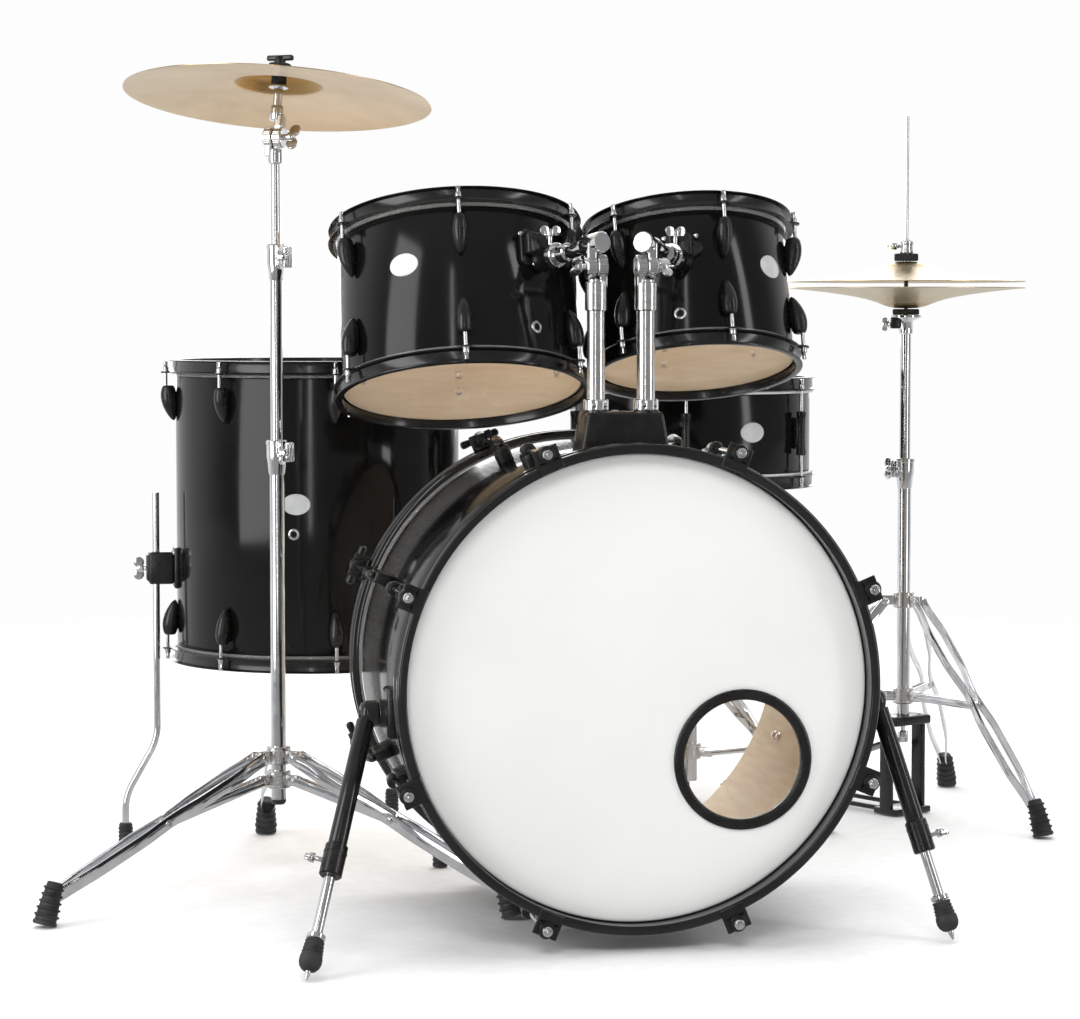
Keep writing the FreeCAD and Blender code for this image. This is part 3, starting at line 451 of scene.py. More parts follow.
def ovalBadge(r, angle, z, wide=39.0, high=29.0):
    # plain domed oval wrapped on the shell
    bm = lathe([(0, 0), (11.4, 0), (12, 0.4), (11.8, 1.0), (11.2, 1.25), (10.6, 1.0), (10.2, 0.85), (8, 1.05), (4, 1.2),
                (0, 1.25)], 48)
    for v in bm.verts:
        u, w, out = v.co.x * wide / 24.0, v.co.y * high / 24.0, v.co.z
        a = u / (r * mm)
        v.co = Vector(((r * mm + out) * math.cos(a), (r * mm + out) * math.sin(a), w))
    return moved(bm, at(0, 0, z) @ turned(angle))


def ventRing(r, angle, z):
    bm = ring((r - 7, 0, 0), (r + 1.6, 0, 0), 6.0, 4.4, 0.4, 32)
    lip = lathe([(4.4, 0), (8, 0), (8, 0.6), (7.4, 1.5), (6.2, 1.9), (5.0, 1.7), (4.4, 1.0)], 36)
    return moved(gather([bm, moved(lip, facing((r + 0.2, 0, 0), (1, 0, 0)))]), at(0, 0, z) @ turned(angle))


def ventDark(r, angle, z):
    # the bare far wall seen down the vent's bore
    bm = lathe([(0, 0), (4.5, 0), (4.5, 1.4), (2.0, 0.9), (0, 0.8)], 24)
    return moved(moved(bm, facing((r - 2.2, 0, 0), (1, 0, 0))), at(0, 0, z) @ turned(angle))


def machineScrew(p, direction, radius=3.4):
    # domed head with a driver recess ring
    head = [(0, 0), (radius, 0), (radius, 1.0), (radius * 0.86, 1.9), (radius * 0.5, 2.4), (radius * 0.42, 1.5),
            (0, 1.4)]
    return moved(lathe(head, 20), facing(p, direction))


def placed(node, lean):
    return Matrix.Translation(centreOf(node)) @ turned(lean, "X")


def dressDrum(d):
    # the pieces that every lugged drum shares
    body, node, seat = d["body"], d["node"], placed(d["node"] + "_shell", d["lean"])
    put(d["name"] + "Shell", moved(drumShell(d), seat), ["lacquerBlack", "plyTimber"], body, (node + "_shell",))
    heads = gather([drumHead(d["radius"], d["half"] * up, up, 12.0) for up in (1, -1)])
    put(d["name"] + "Heads", moved(heads, seat), d["film"], body, (node + "_heads",), 50)
    hoops = gather([flangedHoop(d, up) for up in (1, -1)])
    put(d["name"] + "Hoops", moved(hoops, seat), "steelBlack", body, (node + "_hoops",))
    rods = gather([repeat(tensionRod(d, up, d["rodReach"]), [turned(a) for a in rodAngles(d)]) for up in (1, -1)])
    put(d["name"] + "Rods", moved(rods, seat), "chrome", body, (node + "_rods",))
    half = d["half"]
    if d["dropLugs"]:
        lugs = [repeat(tearLug(d, up), [turned(a) for a in rodAngles(d)]) for up in (1, -1)]
        bolts = lugBolts(d, (half - 36, half - 58, 58 - half, 36 - half))
        put(d["name"] + "LugBolts", moved(bolts, seat), "brushedChrome", body, (node + "_fittings",))
    else:
        lugs = [repeat(tubeLug(d), [turned(a) for a in rodAngles(d)])]
    put(d["name"] + "Lugs", moved(gather(lugs), seat), "castBlack", body, (node + "_fittings",))
    put(d["name"] + "Badge", moved(ovalBadge(d["radius"], *d["badge"]), seat), "badgeSilver", body,
        (node + "_fittings",))
    put(d["name"] + "Vent", moved(ventRing(d["radius"], *d["vent"]), seat), "chrome", body,
        (node + "_fittings",))
    put(d["name"] + "VentBore", moved(ventDark(d["radius"], *d["vent"]), seat), "plyTimber", body,
        (node + "_fittings",))
    return seat


def tubeLug(d):
    # one slim double-ended lug on a foot
    r = d["radius"]
    x = r + d["off"]
    tubeBm = lathe([(2.9, -32), (6.2, -32), (7.3, -31), (7.5, -29), (7.1, -26), (6.2, -22), (5.8, -10), (5.8, 10),
                    (6.2, 22), (7.1, 26), (7.5, 29), (7.3, 31), (6.2, 32), (2.9, 32)], 32)
    foot = slab((13, 11, 46), at(r + 6, 0, 0), 2.4, 3)
    return gather([moved(tubeBm, at(x, 0, 0)), foot])


# bass drum

bass = {"radius": 279.5, "half": 203.0, "wall": 7.0, "rodCircle": 304.0, "hoopEnd": 227.0, "port": (128.0, -88.0),
        "portRadius": 73.6, "lugs": 8, "turn": 22.5}
bassSeat = placed("bass_shell", 90.0)
bassAngles = [turned(a) for a in rodAngles(bass)]


def cutBy(target, tool):
    # boolean difference of two shapes
    made = []
    for name, shape in (("cutTarget", target), ("cutTool", tool)):
        mesh = bpy.data.meshes.new(name)
        shape.to_mesh(mesh)
        shape.free()
        thing = bpy.data.objects.new(name, mesh)
        bpy.context.scene.collection.objects.link(thing)
        made.append(thing)
    cut = made[0].modifiers.new("cut", "BOOLEAN")
    cut.operation = "DIFFERENCE"
    cut.solver = "EXACT"
    cut.object = made[1]
    result = bpy.data.meshes.new_from_object(made[0].evaluated_get(bpy.context.evaluated_depsgraph_get()))
    bm = bmesh.new()
    bm.from_mesh(result)
    bpy.data.meshes.remove(result)
    for thing in made:
        mesh = thing.data
        bpy.data.objects.remove(thing)
        bpy.data.meshes.remove(mesh)
    return bm


def woodHoop(side):
    rim = [(281.3, 191.6), (291.4, 191.2), (293, 192.8), (293, 199.6), (289.6, 202.8), (289.5, 215.2), (293, 218.6),
           (293, 224.2), (292, 226), (290, 227), (283, 227), (281.3, 225.6)]
    return lathe([(r, z * side) for r, z in rim], 180)


def hoopInlay(side):
    return lathe([(r, z * side) for r, z in ((288.8, 203.6), (290.6, 203.8), (291, 204.6), (291, 213.4),
                                             (290.6, 214.2), (288.8, 214.4))], 180)


def clawHook(side):
    # hook over the hoop, ribbed, with the rod's boss
    x = bass["rodCircle"]
    end = bass["hoopEnd"]
    shapes = [slab((30, 31, 3.0), at(297.5, 0, (end + 1.5) * side), 1.3, 3),
              slab((3.8, 27, 26), at(295.2, 0, (end - 10) * side), 1.2, 3),
              slab((13, 7, 22), at(299, 0, (end - 8) * side), 2.0, 3)]
    boss = lathe([(3.5, 209), (8.2, 209), (9.1, 210), (9.1, 224), (10.4, 227), (10.8, 230), (10, 232.4), (8.6, 233),
                  (3.5, 233)], 36)
    if side < 0:
        boss.transform(turned(180, "X"))
    return gather(shapes + [moved(boss, at(x, 0, 0))])


def bassRod(side):
    # front rods end in a square key head, rear ones take the cross handle below
    x = bass["rodCircle"]
    shapes = [rod((x, 0, 92 * side), (x, 0, 236 * side), 3.2, segments=20)]
    collar = lathe([(0, 232.6), (6.2, 232.6), (6.5, 233.4), (6.5, 239), (5.4, 241), (0, 241)], 28)
    if side < 0:
        collar.transform(turned(180, "X"))
    shapes.append(moved(collar, at(x, 0, 0)))
    if side > 0:
        shapes.append(slab((6.2, 6.2, 7.4), at(x, 0, 244), 0.8))
    return gather(shapes)


def crossHandle():
    # black handle across the rear rods' heads
    bar = lathe([(0, -27), (2.6, -26.8), (4.6, -25.4), (5.4, -22.6), (4.8, -16), (4.2, -8), (6.2, -4), (6.2, 4),
                 (4.2, 8), (4.8, 16), (5.4, 22.6), (4.6, 25.4), (2.6, 26.8), (0, 27)], 28)
    return moved(bar, at(bass["rodCircle"], 0, -243.0) @ turned(90, "X"))


def bassLug(side):
    x, z = bass["rodCircle"], 99 * side
    tubeBm = lathe([(3.5, -19), (7.4, -19), (8.8, -18), (9.3, -15.5), (8.7, -11), (7.6, 0), (6.6, 10),
                    (4.6, 17), (2, 19.6),
                    (0, 20), (0, 14), (3.5, 12)], 36)
    if side > 0:
        tubeBm.transform(turned(180, "X"))
    foot = slab((24, 17, 44), at(bass["radius"] + 9.5, 0, z), 4.0, 4)
    waist = slab((20, 12, 34), at(bass["radius"] + 14, 0, z), 3.0, 3)
    return gather([moved(tubeBm, at(x, 0, z)), foot, waist])


def buildBass():
    put("bassShell", moved(drumShell(bass), bassSeat), ["lacquerBlack", "plyTimber"], "kit", ("bass_shell",))
    hoops = gather([woodHoop(side) for side in (1, -1)])
    put("bassWoodHoops", moved(hoops, bassSeat), "hoopBlack", "kit", ("bass_hoops",), 50)
    inlay = gather([hoopInlay(side) for side in (1, -1)])
    put("bassHoopInlays", moved(inlay, bassSeat), "lacquerBlack", "kit", ("bass_hoops",), 50)
    px, py = bass["port"]
    front = drumHead(bass["radius"], bass["half"], 1, 16.0)
    drill = rod((px, py, 150), (px, py, 250), bass["portRadius"], segments=96)
    put("bassFrontHead", moved(cutBy(front, drill), bassSeat), "filmWhite", "kit", ("bass_front_head",),
        50)
    put("bassRearHead", moved(drumHead(bass["radius"], -bass["half"], -1, 16.0), bassSeat), "filmClear", "kit",
        ("bass_rear_head",), 50)
    trim = lathe([(72, 198.4), (72.4, 198), (82.4, 198), (83, 198.6), (83, 202.4), (73.2, 202.4), (73.2, 204.2),
                  (84, 204.2), (85, 205), (84.8, 206.4), (83.4, 207.6), (81, 208), (75.4, 208), (73.2, 207.4),
                  (72.2, 206), (72, 204)], 128)
    put("portTrim", moved(moved(trim, at(px, py, 0)), bassSeat), "castBlack", "kit", ("port_ring",),
        50)
    claws = gather([repeat(clawHook(side), bassAngles) for side in (1, -1)])
    put("bassClaws", moved(claws, bassSeat), "castBlack", "kit", ("bass_claws",))
    rods = gather([repeat(bassRod(side), bassAngles) for side in (1, -1)])
    put("bassTensionRods", moved(rods, bassSeat), "chrome", "kit", ("bass_rods",))
    put("bassRodHandles", moved(repeat(crossHandle(), bassAngles), bassSeat), "castBlack", "kit", ("bass_rods",))
    bolts = lugBolts(bass, (89, 109, -89, -109))
    put("bassLugBolts", moved(bolts, bassSeat), "brushedChrome", "kit", ("bass_lugs",))
    lugs = gather([repeat(bassLug(side), bassAngles) for side in (1, -1)])
    put("bassLugs", moved(lugs, bassSeat), "castBlack", "kit", ("bass_lugs",))
    put("bassVent", moved(ventRing(bass["radius"], 90.0, -60.0), bassSeat), "chrome", "kit", ("bass_lugs",))
    print("bass drum built")


buildBass()


# tom mount block, posts, tilters and arms

mount = {"y": -475.0, "postX": 31.0, "blockBottom": 585.8, "blockTop": 640.0, "tiltZ": 815.0,
         "elbowZ": 843.0}


def mountBlock():
    bm = bmesh.new()
    low, high = mount["blockBottom"], mount["blockTop"]
    bmesh.ops.create_cube(bm, size=1.0, matrix=at(0, mount["y"], (low + high) / 2) @ Matrix.Diagonal(
        (112 * mm, 62 * mm, (high - low) * mm, 1)))
    top = [v for v in bm.verts if v.co.z > (low + high) / 2 * mm]
    bmesh.ops.scale(bm, verts=top, vec=(0.84, 0.93, 1), space=at(0, -mount["y"], 0))
    softEdges(bm, 4.5 * mm, 4, 40)
    shapes = [bm]
    for x in (-mount["postX"], mount["postX"]):
        shapes.append(ring((x, mount["y"], high - 6), (x, mount["y"], high + 0.6), 17.5, 11.3, 1.0, 48))
    return gather(shapes)


def lockCollar(x, side):
    # split memory collar with its pinch screw
    y = mount["y"]
    shapes = [ring((x, y, 641), (x, y, 655), 15.4, 10.9, 1.2, 48),
              slab((9.6, 12, 13.4), at(x, y - 19, 648), 1.6, 3),
              rod((x - 9, y - 20, 648), (x + 9, y - 20, 648), 2.6, segments=20, soft=0.6)]
    return gather(shapes)


def toothedDisc(p, q, radius):
    # tilter half with fine radial teeth round its rim
    body = ring(p, q, radius, 4.2, 1.2, 56)
    p, q = Vector(p), Vector(q)
    tooth = rod((radius - 0.5, 0, -(q - p).length / 2 + 2.2), (radius - 0.5, 0, (q - p).length / 2 - 2.2), 0.8,
                segments=8)
    teeth = repeat(tooth, [turned(360 / 36 * i) for i in range(36)])
    return gather([body, moved(teeth, along(p * mm, q * mm))])


def tomPost(name, side):
    x, y, z = mount["postX"] * side, mount["y"], mount["tiltZ"]
    shapes = [ring((x, y, 480), (x, y, 800), 11.0, 8.6, 0.6, 48),
              ring((x, y, 762), (x, y, 797), 13.5, 10.8, 1.4, 48),
              slab((9.4, 17, 26), at(x - side * 8, y, 804), 1.6, 3),
              toothedDisc((x - side * 13, y, z), (x - side * 0.5, y, z), 14.6),
              rod((x - side * 14, y, z), (x + side * 17, y, z), 4.0, segments=24, soft=0.8)]
    shapes.append(moved(wingScrew(6, 15, 4.0, 11), facing((x + side * 14, y, z), (side, 0, 0), 40)))
    put(name + "Post", gather(shapes), "brushedChrome", name + "_post", (name + "_post",))
    put(name + "LockCollar", lockCollar(x, side), "chrome", name + "_post", (name + "_post",))


def tomArm(name, side, tip):
    x, y, z = mount["postX"] * side, mount["y"], mount["tiltZ"]
    elbow = Vector((x, y - 2, mount["elbowZ"]))
    tip = Vector(tip)
    way = (tip - elbow).normalized()
    barrel = lathe([(0, -13), (11.4, -13), (13, -11.6), (13, 17), (11.8, 20), (9.8, 21), (0, 21)], 48)
    shapes = [toothedDisc((x + side * 0.5, y, z), (x + side * 12.8, y, z), 14.6),
              slab((12, 18, 30), at(x + side * 6.5, y - 1, z + 15), 2.6, 3),
              moved(barrel, facing(elbow, way)),
              rod(elbow, tip + way * 30, 7.0, segments=36, soft=0.8),
              rod(elbow, tip - way * 16, 9.5, segments=40, soft=1.2),
              ring(tip - way * 22, tip - way * 8, 11.6, 7.2, 1.2, 40)]
    put(name + "Arm", gather(shapes), "chrome", name + "_arm", (name + "_arm",))
    return tip, way


def buildMount():
    block = gather([mountBlock(), spurBracket(-1), spurBracket(1)])
    put("mountBlock", block, "castBlack", "kit", ("bass_brackets",))
    print("mount built")


# spurs

spur = {"left": {"pivot": (-316.0, -508.0, 282.0), "tip": (-410.0, -680.0, 0.0)},
        "right": {"pivot": (316.0, -508.0, 282.0), "tip": (386.0, -602.0, 0.0)}, "cut": 0.52}


def spurBracket(side):
    x = side * 285
    pad = slab((20, 46, 60), at(x, -508, 283), 5.0, 4)
    boss = lathe([(0, 0), (19, 0), (19.6, 1), (18.6, 5), (17, 9), (17, 15.4), (16, 16.4), (0, 16.4)], 48)
    pin = rod((side * 302, -508, 282), (side * 326.6, -508, 282), 5.0, segments=28, soft=0.8)
    return gather([pad, moved(boss, facing((side * 286.4, -508, 282), (side, 0, 0))), pin])


def buildSpur(side, sign):
    pivot, tip = Vector(spur[side]["pivot"]), Vector(spur[side]["tip"])
    way = (tip - pivot).normalized()
    length = (tip - pivot).length
    end = pivot + way * (length * spur["cut"])
    sideWay = Vector((sign, 0, 0))
    sideWay = (sideWay - way * sideWay.dot(way)).normalized()
    knob = lathe([(5.4, 0.6), (15, 0.6), (16, 1.6), (16, 14), (15.2, 17), (13, 20.4), (9.6, 21.6), (5.4, 21.8)], 48)
    shapes = [moved(knob, facing((sign * 303, pivot.y, pivot.z), (sign, 0, 0))),
              rod(pivot + way * 10, end, 11.0, segments=48, soft=1.0)]
    put(side + "SpurTube", gather(shapes), "steelBlack", side + "_spur", (side + "_spur_tube",))
    sleeve = [ring(end - way * 6, end + way * 34, 13.5, 6.9, 1.6, 48),
              ring(end + way * 2, end + way * 6, 14.0, 13.0, 0.6, 48)]
    put(side + "SpurSleeve", gather(sleeve), "castBlack", side + "_spur", (side + "_spur_tube",))
    screw = moved(wingScrew(14, 13, 3.0, 10), facing(end + way * 16 + sideWay * 10, sideWay, 0))
    put(side + "SpurScrew", screw, "chrome", side + "_spur", (side + "_spur_tube",))
    start = pivot + way * (length * spur["cut"] - 50)
    put(side + "SpurRod", gather([rod(start, tip - way * 20, 6.5, segments=36, soft=0.6),
                                  ring(tip - way * 58, tip - way * 51, 11.0, 6.4, 1.2, 40)]),
        "chrome", side + "_spur_foot", (side + "_spur_leg",))
    grip = [(6.4, 0), (10.2, 0), (11.2, 1)]
    for i in range(4):
        grip += [(11.4 + i * 0.4, 2.4 + i * 4.2), (10.6 + i * 0.4, 3.2 + i * 4.2), (10.6 + i * 0.4, 5.0 + i * 4.2),
                 (11.6 + i * 0.4, 5.8 + i * 4.2)]
    grip += [(13.4, 22), (13.4, 27), (11.8, 32), (8.4, 36), (5.0, 37.4), (0, 37.4), (0, 30), (6.4, 28)]
    put(side + "SpurTip", moved(lathe(grip, 48), facing(tip - way * 50, way)), "rubberBlack", side + "_spur_foot",
        (side + "_spur_leg",))
    spike = lathe([(0, 0), (3.4, 0), (3.4, 4), (3.0, 6.5), (0.9, 12.6), (0, 12.8)], 24)
    put(side + "SpurSpike", moved(spike, facing(tip - way * 14.4, way)), "brushedChrome", side + "_spur_foot",
        (side + "_spur_leg",))


# rack toms

tom12 = {"name": "tomLarge", "node": "tom12", "body": "tom12", "radius": 150.8, "half": 101.5, "wall": 6.4,
         "lean": -17.0,
         "lugs": 6, "turn": 22.6, "off": 14.5, "lip": 11.5, "rodReach": 50.0, "dropLugs": True, "film": "filmClear",
         "filmSlot": "clear_head", "badge": (-125.0, 22.0), "vent": (-61.0, -60.0), "bracket": (-62.0, 40.0),
         "armTip": (-68.0, -415.0, 830.0)}
tom10 = {"name": "tomSmall", "node": "tom10", "body": "tom10", "radius": 125.4, "half": 89.0, "wall": 6.4,
         "lean": -17.0,
         "lugs": 6, "turn": -24.0, "off": 14.5, "lip": 11.5, "rodReach": 50.0, "dropLugs": True, "film": "filmClear",
         "filmSlot": "clear_head", "badge": (-50.0, 12.0), "vent": (-111.0, -56.0), "bracket": (-108.0, 26.0),
         "armTip": (78.0, -410.0, 830.0)}


def tomBracket(d):
    # three-cornered plate with a round boss that grips the arm
    r, (angle, height) = d["radius"], d["bracket"]
    plate = bmesh.new()
    bmesh.ops.create_circle(plate, cap_ends=True, segments=3, radius=40 * mm)
    bmesh.ops.scale(plate, verts=plate.verts, vec=(0.86, 0.92, 1))
    bmesh.ops.bevel(plate, geom=list(plate.verts), offset=17 * mm, offset_type="OFFSET", affect="VERTICES", segments=7,
                    profile=0.5, material=-1)
    lifted = bmesh.ops.extrude_face_region(plate, geom=list(plate.faces))
    bmesh.ops.translate(plate, verts=[g for g in lifted["geom"] if isinstance(g, bmesh.types.BMVert)],
                        vec=(0, 0, 11 * mm))
    bmesh.ops.recalc_face_normals(plate, faces=plate.faces)
    softEdges(plate, 2.2 * mm, 3, 50)
    plate.transform(at(r - 5.0, 0, height) @ turned(90, "Y"))
    raised = slab((16, 30, 30), at(r + 9, 0, height + 3), 4.0, 4)
    return moved(gather([plate, raised]), turned(angle))


def bracketScrews(d):
    r, (angle, height) = d["radius"], d["bracket"]
    spots = [(-20, 15), (20, 15), (0, -21)]
    return gather([moved(machineScrew((r + 5.6, u, height + v), (1, 0, 0), 3.2), turned(angle)) for u, v in spots])


def buildTom(d, side):
    seat = dressDrum(d)
    node, body = d["node"], d["body"]
    put(d["name"] + "Bracket", moved(tomBracket(d), seat), "castBlack", body, (node + "_fittings",))
    put(d["name"] + "BracketScrews", moved(bracketScrews(d), seat), "chrome", body, (node + "_fittings",))
    tip, way = tomArm(node, side, d["armTip"])
    angle, height = d["bracket"]
    plateSpot = seat @ (turned(angle) @ Vector(((d["radius"] + 2) * mm, 0, height * mm))) / mm
    reach = min(58.0, max(30.0, (plateSpot - tip).dot(way)))
    boss = lathe([(7.4, -2), (13.6, -2), (15, -0.6), (15, 10), (13.8, 12), (13.8, 24), (15, 27), (15, reach - 3),
                  (12, reach), (0, reach), (0, 34), (7.4, 34)], 48)
    collar = ring(tip - way * 3.4, tip + way * 7, 15.6, 7.5, 1.2, 48)
    put(d["name"] + "ArmCollar", collar, "chrome", body, (node + "_fittings",))
    put(d["name"] + "ArmBoss", moved(boss, facing(tip, way)), "castBlack", body, (node + "_fittings",))
    screw = moved(wingScrew(16, 13, 3.0, 10), facing(tip + way * 12 + Vector((0, 0, 12)), (0, 0, 1), 17))
    put(d["name"] + "ArmScrew", screw, "chrome", body, (node + "_fittings",))
    tomPost(node, side)


buildMount()
for sideName, sideSign in (("left", -1), ("right", 1)):
    buildSpur(sideName, sideSign)
print("spurs built")
buildTom(tom12, -1)
buildTom(tom10, 1)
print("rack toms built")


# floor tom on three legs

floorTom = {"name": "floorTom", "node": "floor_tom", "body": "kit", "radius": 201.6, "half": 203.0, "wall": 6.4,
            "lean": 0.0, "lugs": 8, "turn": 0.0, "off": 14.5, "lip": 11.5, "rodReach": 50.0, "dropLugs": True,
            "film": "filmClear", "filmSlot": "clear_head", "badge": (-105.0, 18.0), "vent": (-106.0, -23.0),
            "legAngles": (180.0, 60.0, -60.0), "legOut": 30.0}


def bentTube(points, radius, bend, steps=8):
    # round bar along a path with rounded corners
    pts = [Vector(p) * mm for p in points]
    path = [pts[0]]
    for before, corner, after in zip(pts, pts[1:], pts[2:]):
        a = corner + (before - corner).normalized() * bend * mm
        b = corner + (after - corner).normalized() * bend * mm
        for i in range(steps + 1):
            t = i / steps
            path.append(a * (1 - t) ** 2 + corner * 2 * t * (1 - t) + b * t ** 2)
    path.append(pts[-1])
    curve = bpy.data.curves.new("bend", "CURVE")
    curve.dimensions = "3D"
    curve.bevel_depth = radius * mm
    curve.bevel_resolution = 8
    curve.use_fill_caps = True
    line = curve.splines.new("POLY")
    line.points.add(len(path) - 1)
    for point, spot in zip(line.points, path):
        point.co = (*spot, 1)
    thing = bpy.data.objects.new("bend", curve)
    bpy.context.scene.collection.objects.link(thing)
    mesh = bpy.data.meshes.new_from_object(thing.evaluated_get(bpy.context.evaluated_depsgraph_get()))
    bm = bmesh.new()
    bm.from_mesh(mesh)
    bmesh.ops.remove_doubles(bm, verts=bm.verts, dist=1e-6)
    bmesh.ops.recalc_face_normals(bm, faces=bm.faces)
    bpy.data.objects.remove(thing)
    bpy.data.curves.remove(curve)
    bpy.data.meshes.remove(mesh)
    return bm


def ribbedFoot(height, radius, ribs=5):
    # rubber ferrule standing on z = 0
    shape = [(0, 0), (radius - 1.2, 0), (radius, 1.2)]
    step = (height - 6) / ribs
    for i in range(ribs):
        z = 2.4 + i * step
        shape += [(radius, z), (radius, z + step * 0.5), (radius - 1.1, z + step * 0.62),
                  (radius - 1.1, z + step * 0.88)]
    shape += [(radius - 0.6, height - 3), (radius - 2.4, height), (0, height)]
    return lathe(shape, 36)


def buildFloorTom():
    dressDrum(floorTom)
    centre = centreOf("floor_tom_shell") / mm
    x = floorTom["radius"] + floorTom["legOut"]
    spin = [at(*centre) @ turned(a) for a in floorTom["legAngles"]]
    base = -centre.z
    block = gather([slab((36, 30, 46), at(x - 7, 0, -81.5), 4.5, 4), slab((12, 24, 38), at(x + 8, 0, -81.5), 3.5, 3),
                    slab((8, 40, 58), at(floorTom["radius"] + 1.5, 0, -81.5), 3.0, 3)])
    put("legBrackets", repeat(block, spin), "castBlack", "kit", ("floor_leg_brackets",))
    screws = gather([moved(wingScrew(12, 15, 3.5, 12), facing((x + 8, 0, -82), (1, 0, 0), 90)),
                     machineScrew((floorTom["radius"] + 5.2, 15, -60), (1, 0, 0), 3),
                     machineScrew((floorTom["radius"] + 5.2, -15, -60), (1, 0, 0), 3)])
    put("legBracketScrews", repeat(screws, spin), "chrome", "kit", ("floor_leg_brackets",))
    for letter, seat in zip("abc", spin):
        name = "floor_leg_" + letter
        leg = bentTube([(x, 0, 506 + base), (x, 0, 154 + base), (x + 46, 0, 72 + base), (x + 46, 0, 14 + base)],
                       5.0, 20)
        put("floorLeg" + letter.upper(), moved(leg, seat), "chrome", name, (name,))
        foot = moved(ribbedFoot(34, 10.5), at(x + 46, 0, base))
        put("floorLegFoot" + letter.upper(), moved(foot, seat), "rubberBlack", name, (name,))
    print("floor tom built")


buildFloorTom()


# snare drum, strainer and wires

snare = {"name": "snare", "node": "snare", "body": "snare", "radius": 178.0, "half": 70.0, "wall": 6.4, "lean": 0.0,
         "lugs": 6, "turn": 15.0, "off": 12.5, "lip": 9.0, "rodReach": 62.0, "dropLugs": False, "film": "filmWhite",
         "filmSlot": "coated_head", "badge": (-73.0, 3.0), "vent": (105.0, 0.0), "throw": 225.0}


def strainerShape(r):
    shapes = [slab((13, 28, 78), at(r + 4.5, 0, -13), 3.0, 3), slab((6, 7, 60), at(r + 11, 10.4, -18), 1.8, 3),
              slab((6, 7, 60), at(r + 11, -10.4, -18), 1.8, 3),
              rod((r + 11, -14, -14), (r + 11, 14, -14), 2.2, segments=20, soft=0.5)]
    return gather(shapes)


def buildSnare():
    seat = dressDrum(snare)
    r = snare["radius"]
    turn = turned(snare["throw"])
    put("snareStrainer", moved(strainerShape(r), seat @ turn), "brushedChrome", "snare", ("snare_fittings",))
    butt = gather([slab((14, 28, 34), at(r + 4, 0, -35), 3.0, 3), slab((5, 20, 20), at(r + 10, 0, -35), 2.0, 3),
                   machineScrew((r + 12.2, 0, -29), (1, 0, 0), 2.6), machineScrew((r + 12.2, 0, -41), (1, 0, 0), 2.6)])
    put("snareButtPlate", moved(butt, seat @ turned(snare["throw"] + 180)), "brushedChrome", "snare",
        ("snare_fittings",))
    lever = gather([slab((5.4, 10.6, 50), at(r + 11, 0, 11), 1.6, 3),
                    slab((17.6, 10.6, 3.8), at(r + 19, 0, 34), 1.4, 3),
                    ring((r + 11, -5.3, -14), (r + 11, 5.3, -14), 5.9, 2.5, 0.8, 28)])
    put("snareLever", moved(lever, seat @ turn), "chrome", "snare_lever", ("snare_lever",))
    z = -snare["half"] - 2.4
    coils = gather([rod((-150, -18 + 4 * i, z), (150, -18 + 4 * i, z), 0.8, segments=8) for i in range(10)])
    plates = gather([slab((8, 42, 2.2), at(s * 154, 0, z), 0.6) for s in (-1, 1)])
    straps = gather([slab((32.6, 24, 0.7), at(s * 173.3, 0, z), 0.2) for s in (-1, 1)]
                    + [slab((0.7, 24, -52 - z), at(s * 189.2, 0, (z - 52) / 2), 0.2) for s in (-1, 1)])
    put("snareCoils", moved(coils, seat @ turn), "brushedChrome", "snare", ("snare_wires",))
    put("snareStrapPlates", moved(gather([plates, straps]), seat @ turn), "brushedChrome", "snare", ("snare_wires",))
    print("snare built")


buildSnare()


# stands: tubes, pinch collars and two-strap tripods

def pinchCollar(x, y, z0, z1, radius, bore, way, reach=9.0):
    # tapered split collar with pinch ears, and its wing screw
    mid, half = (z0 + z1) / 2, (z1 - z0) / 2
    turn = at(x, y, mid) @ turned(way)
    profile = [(bore, -half - 10), (bore + 1.6, -half - 10), (bore + 2.4, -half - 8), (radius - 1.4, -half + 6),
               (radius, -half + 14), (radius, half - 7), (radius + 0.9, half - 6), (radius + 0.9, half - 1.6),
               (radius - 0.4, half), (bore, half)]
    shapes = [lathe(profile, 56)]
    for off in (-4.0, 4.0):
        shapes.append(slab((17, 5.6, z1 - z0 - 10), at(radius + 1.0, off, 2), 2.2, 3))
    shapes.append(rod((radius + 4, -6, 2), (radius + 4, 9.6, 2), 4.0, segments=6, soft=0.6))
    shapes.append(moved(wingScrew(reach, 15, 3.0, 12), facing((radius + 4, -4, 2), (0, -1, 0), 90)))
    return moved(gather(shapes), turn)


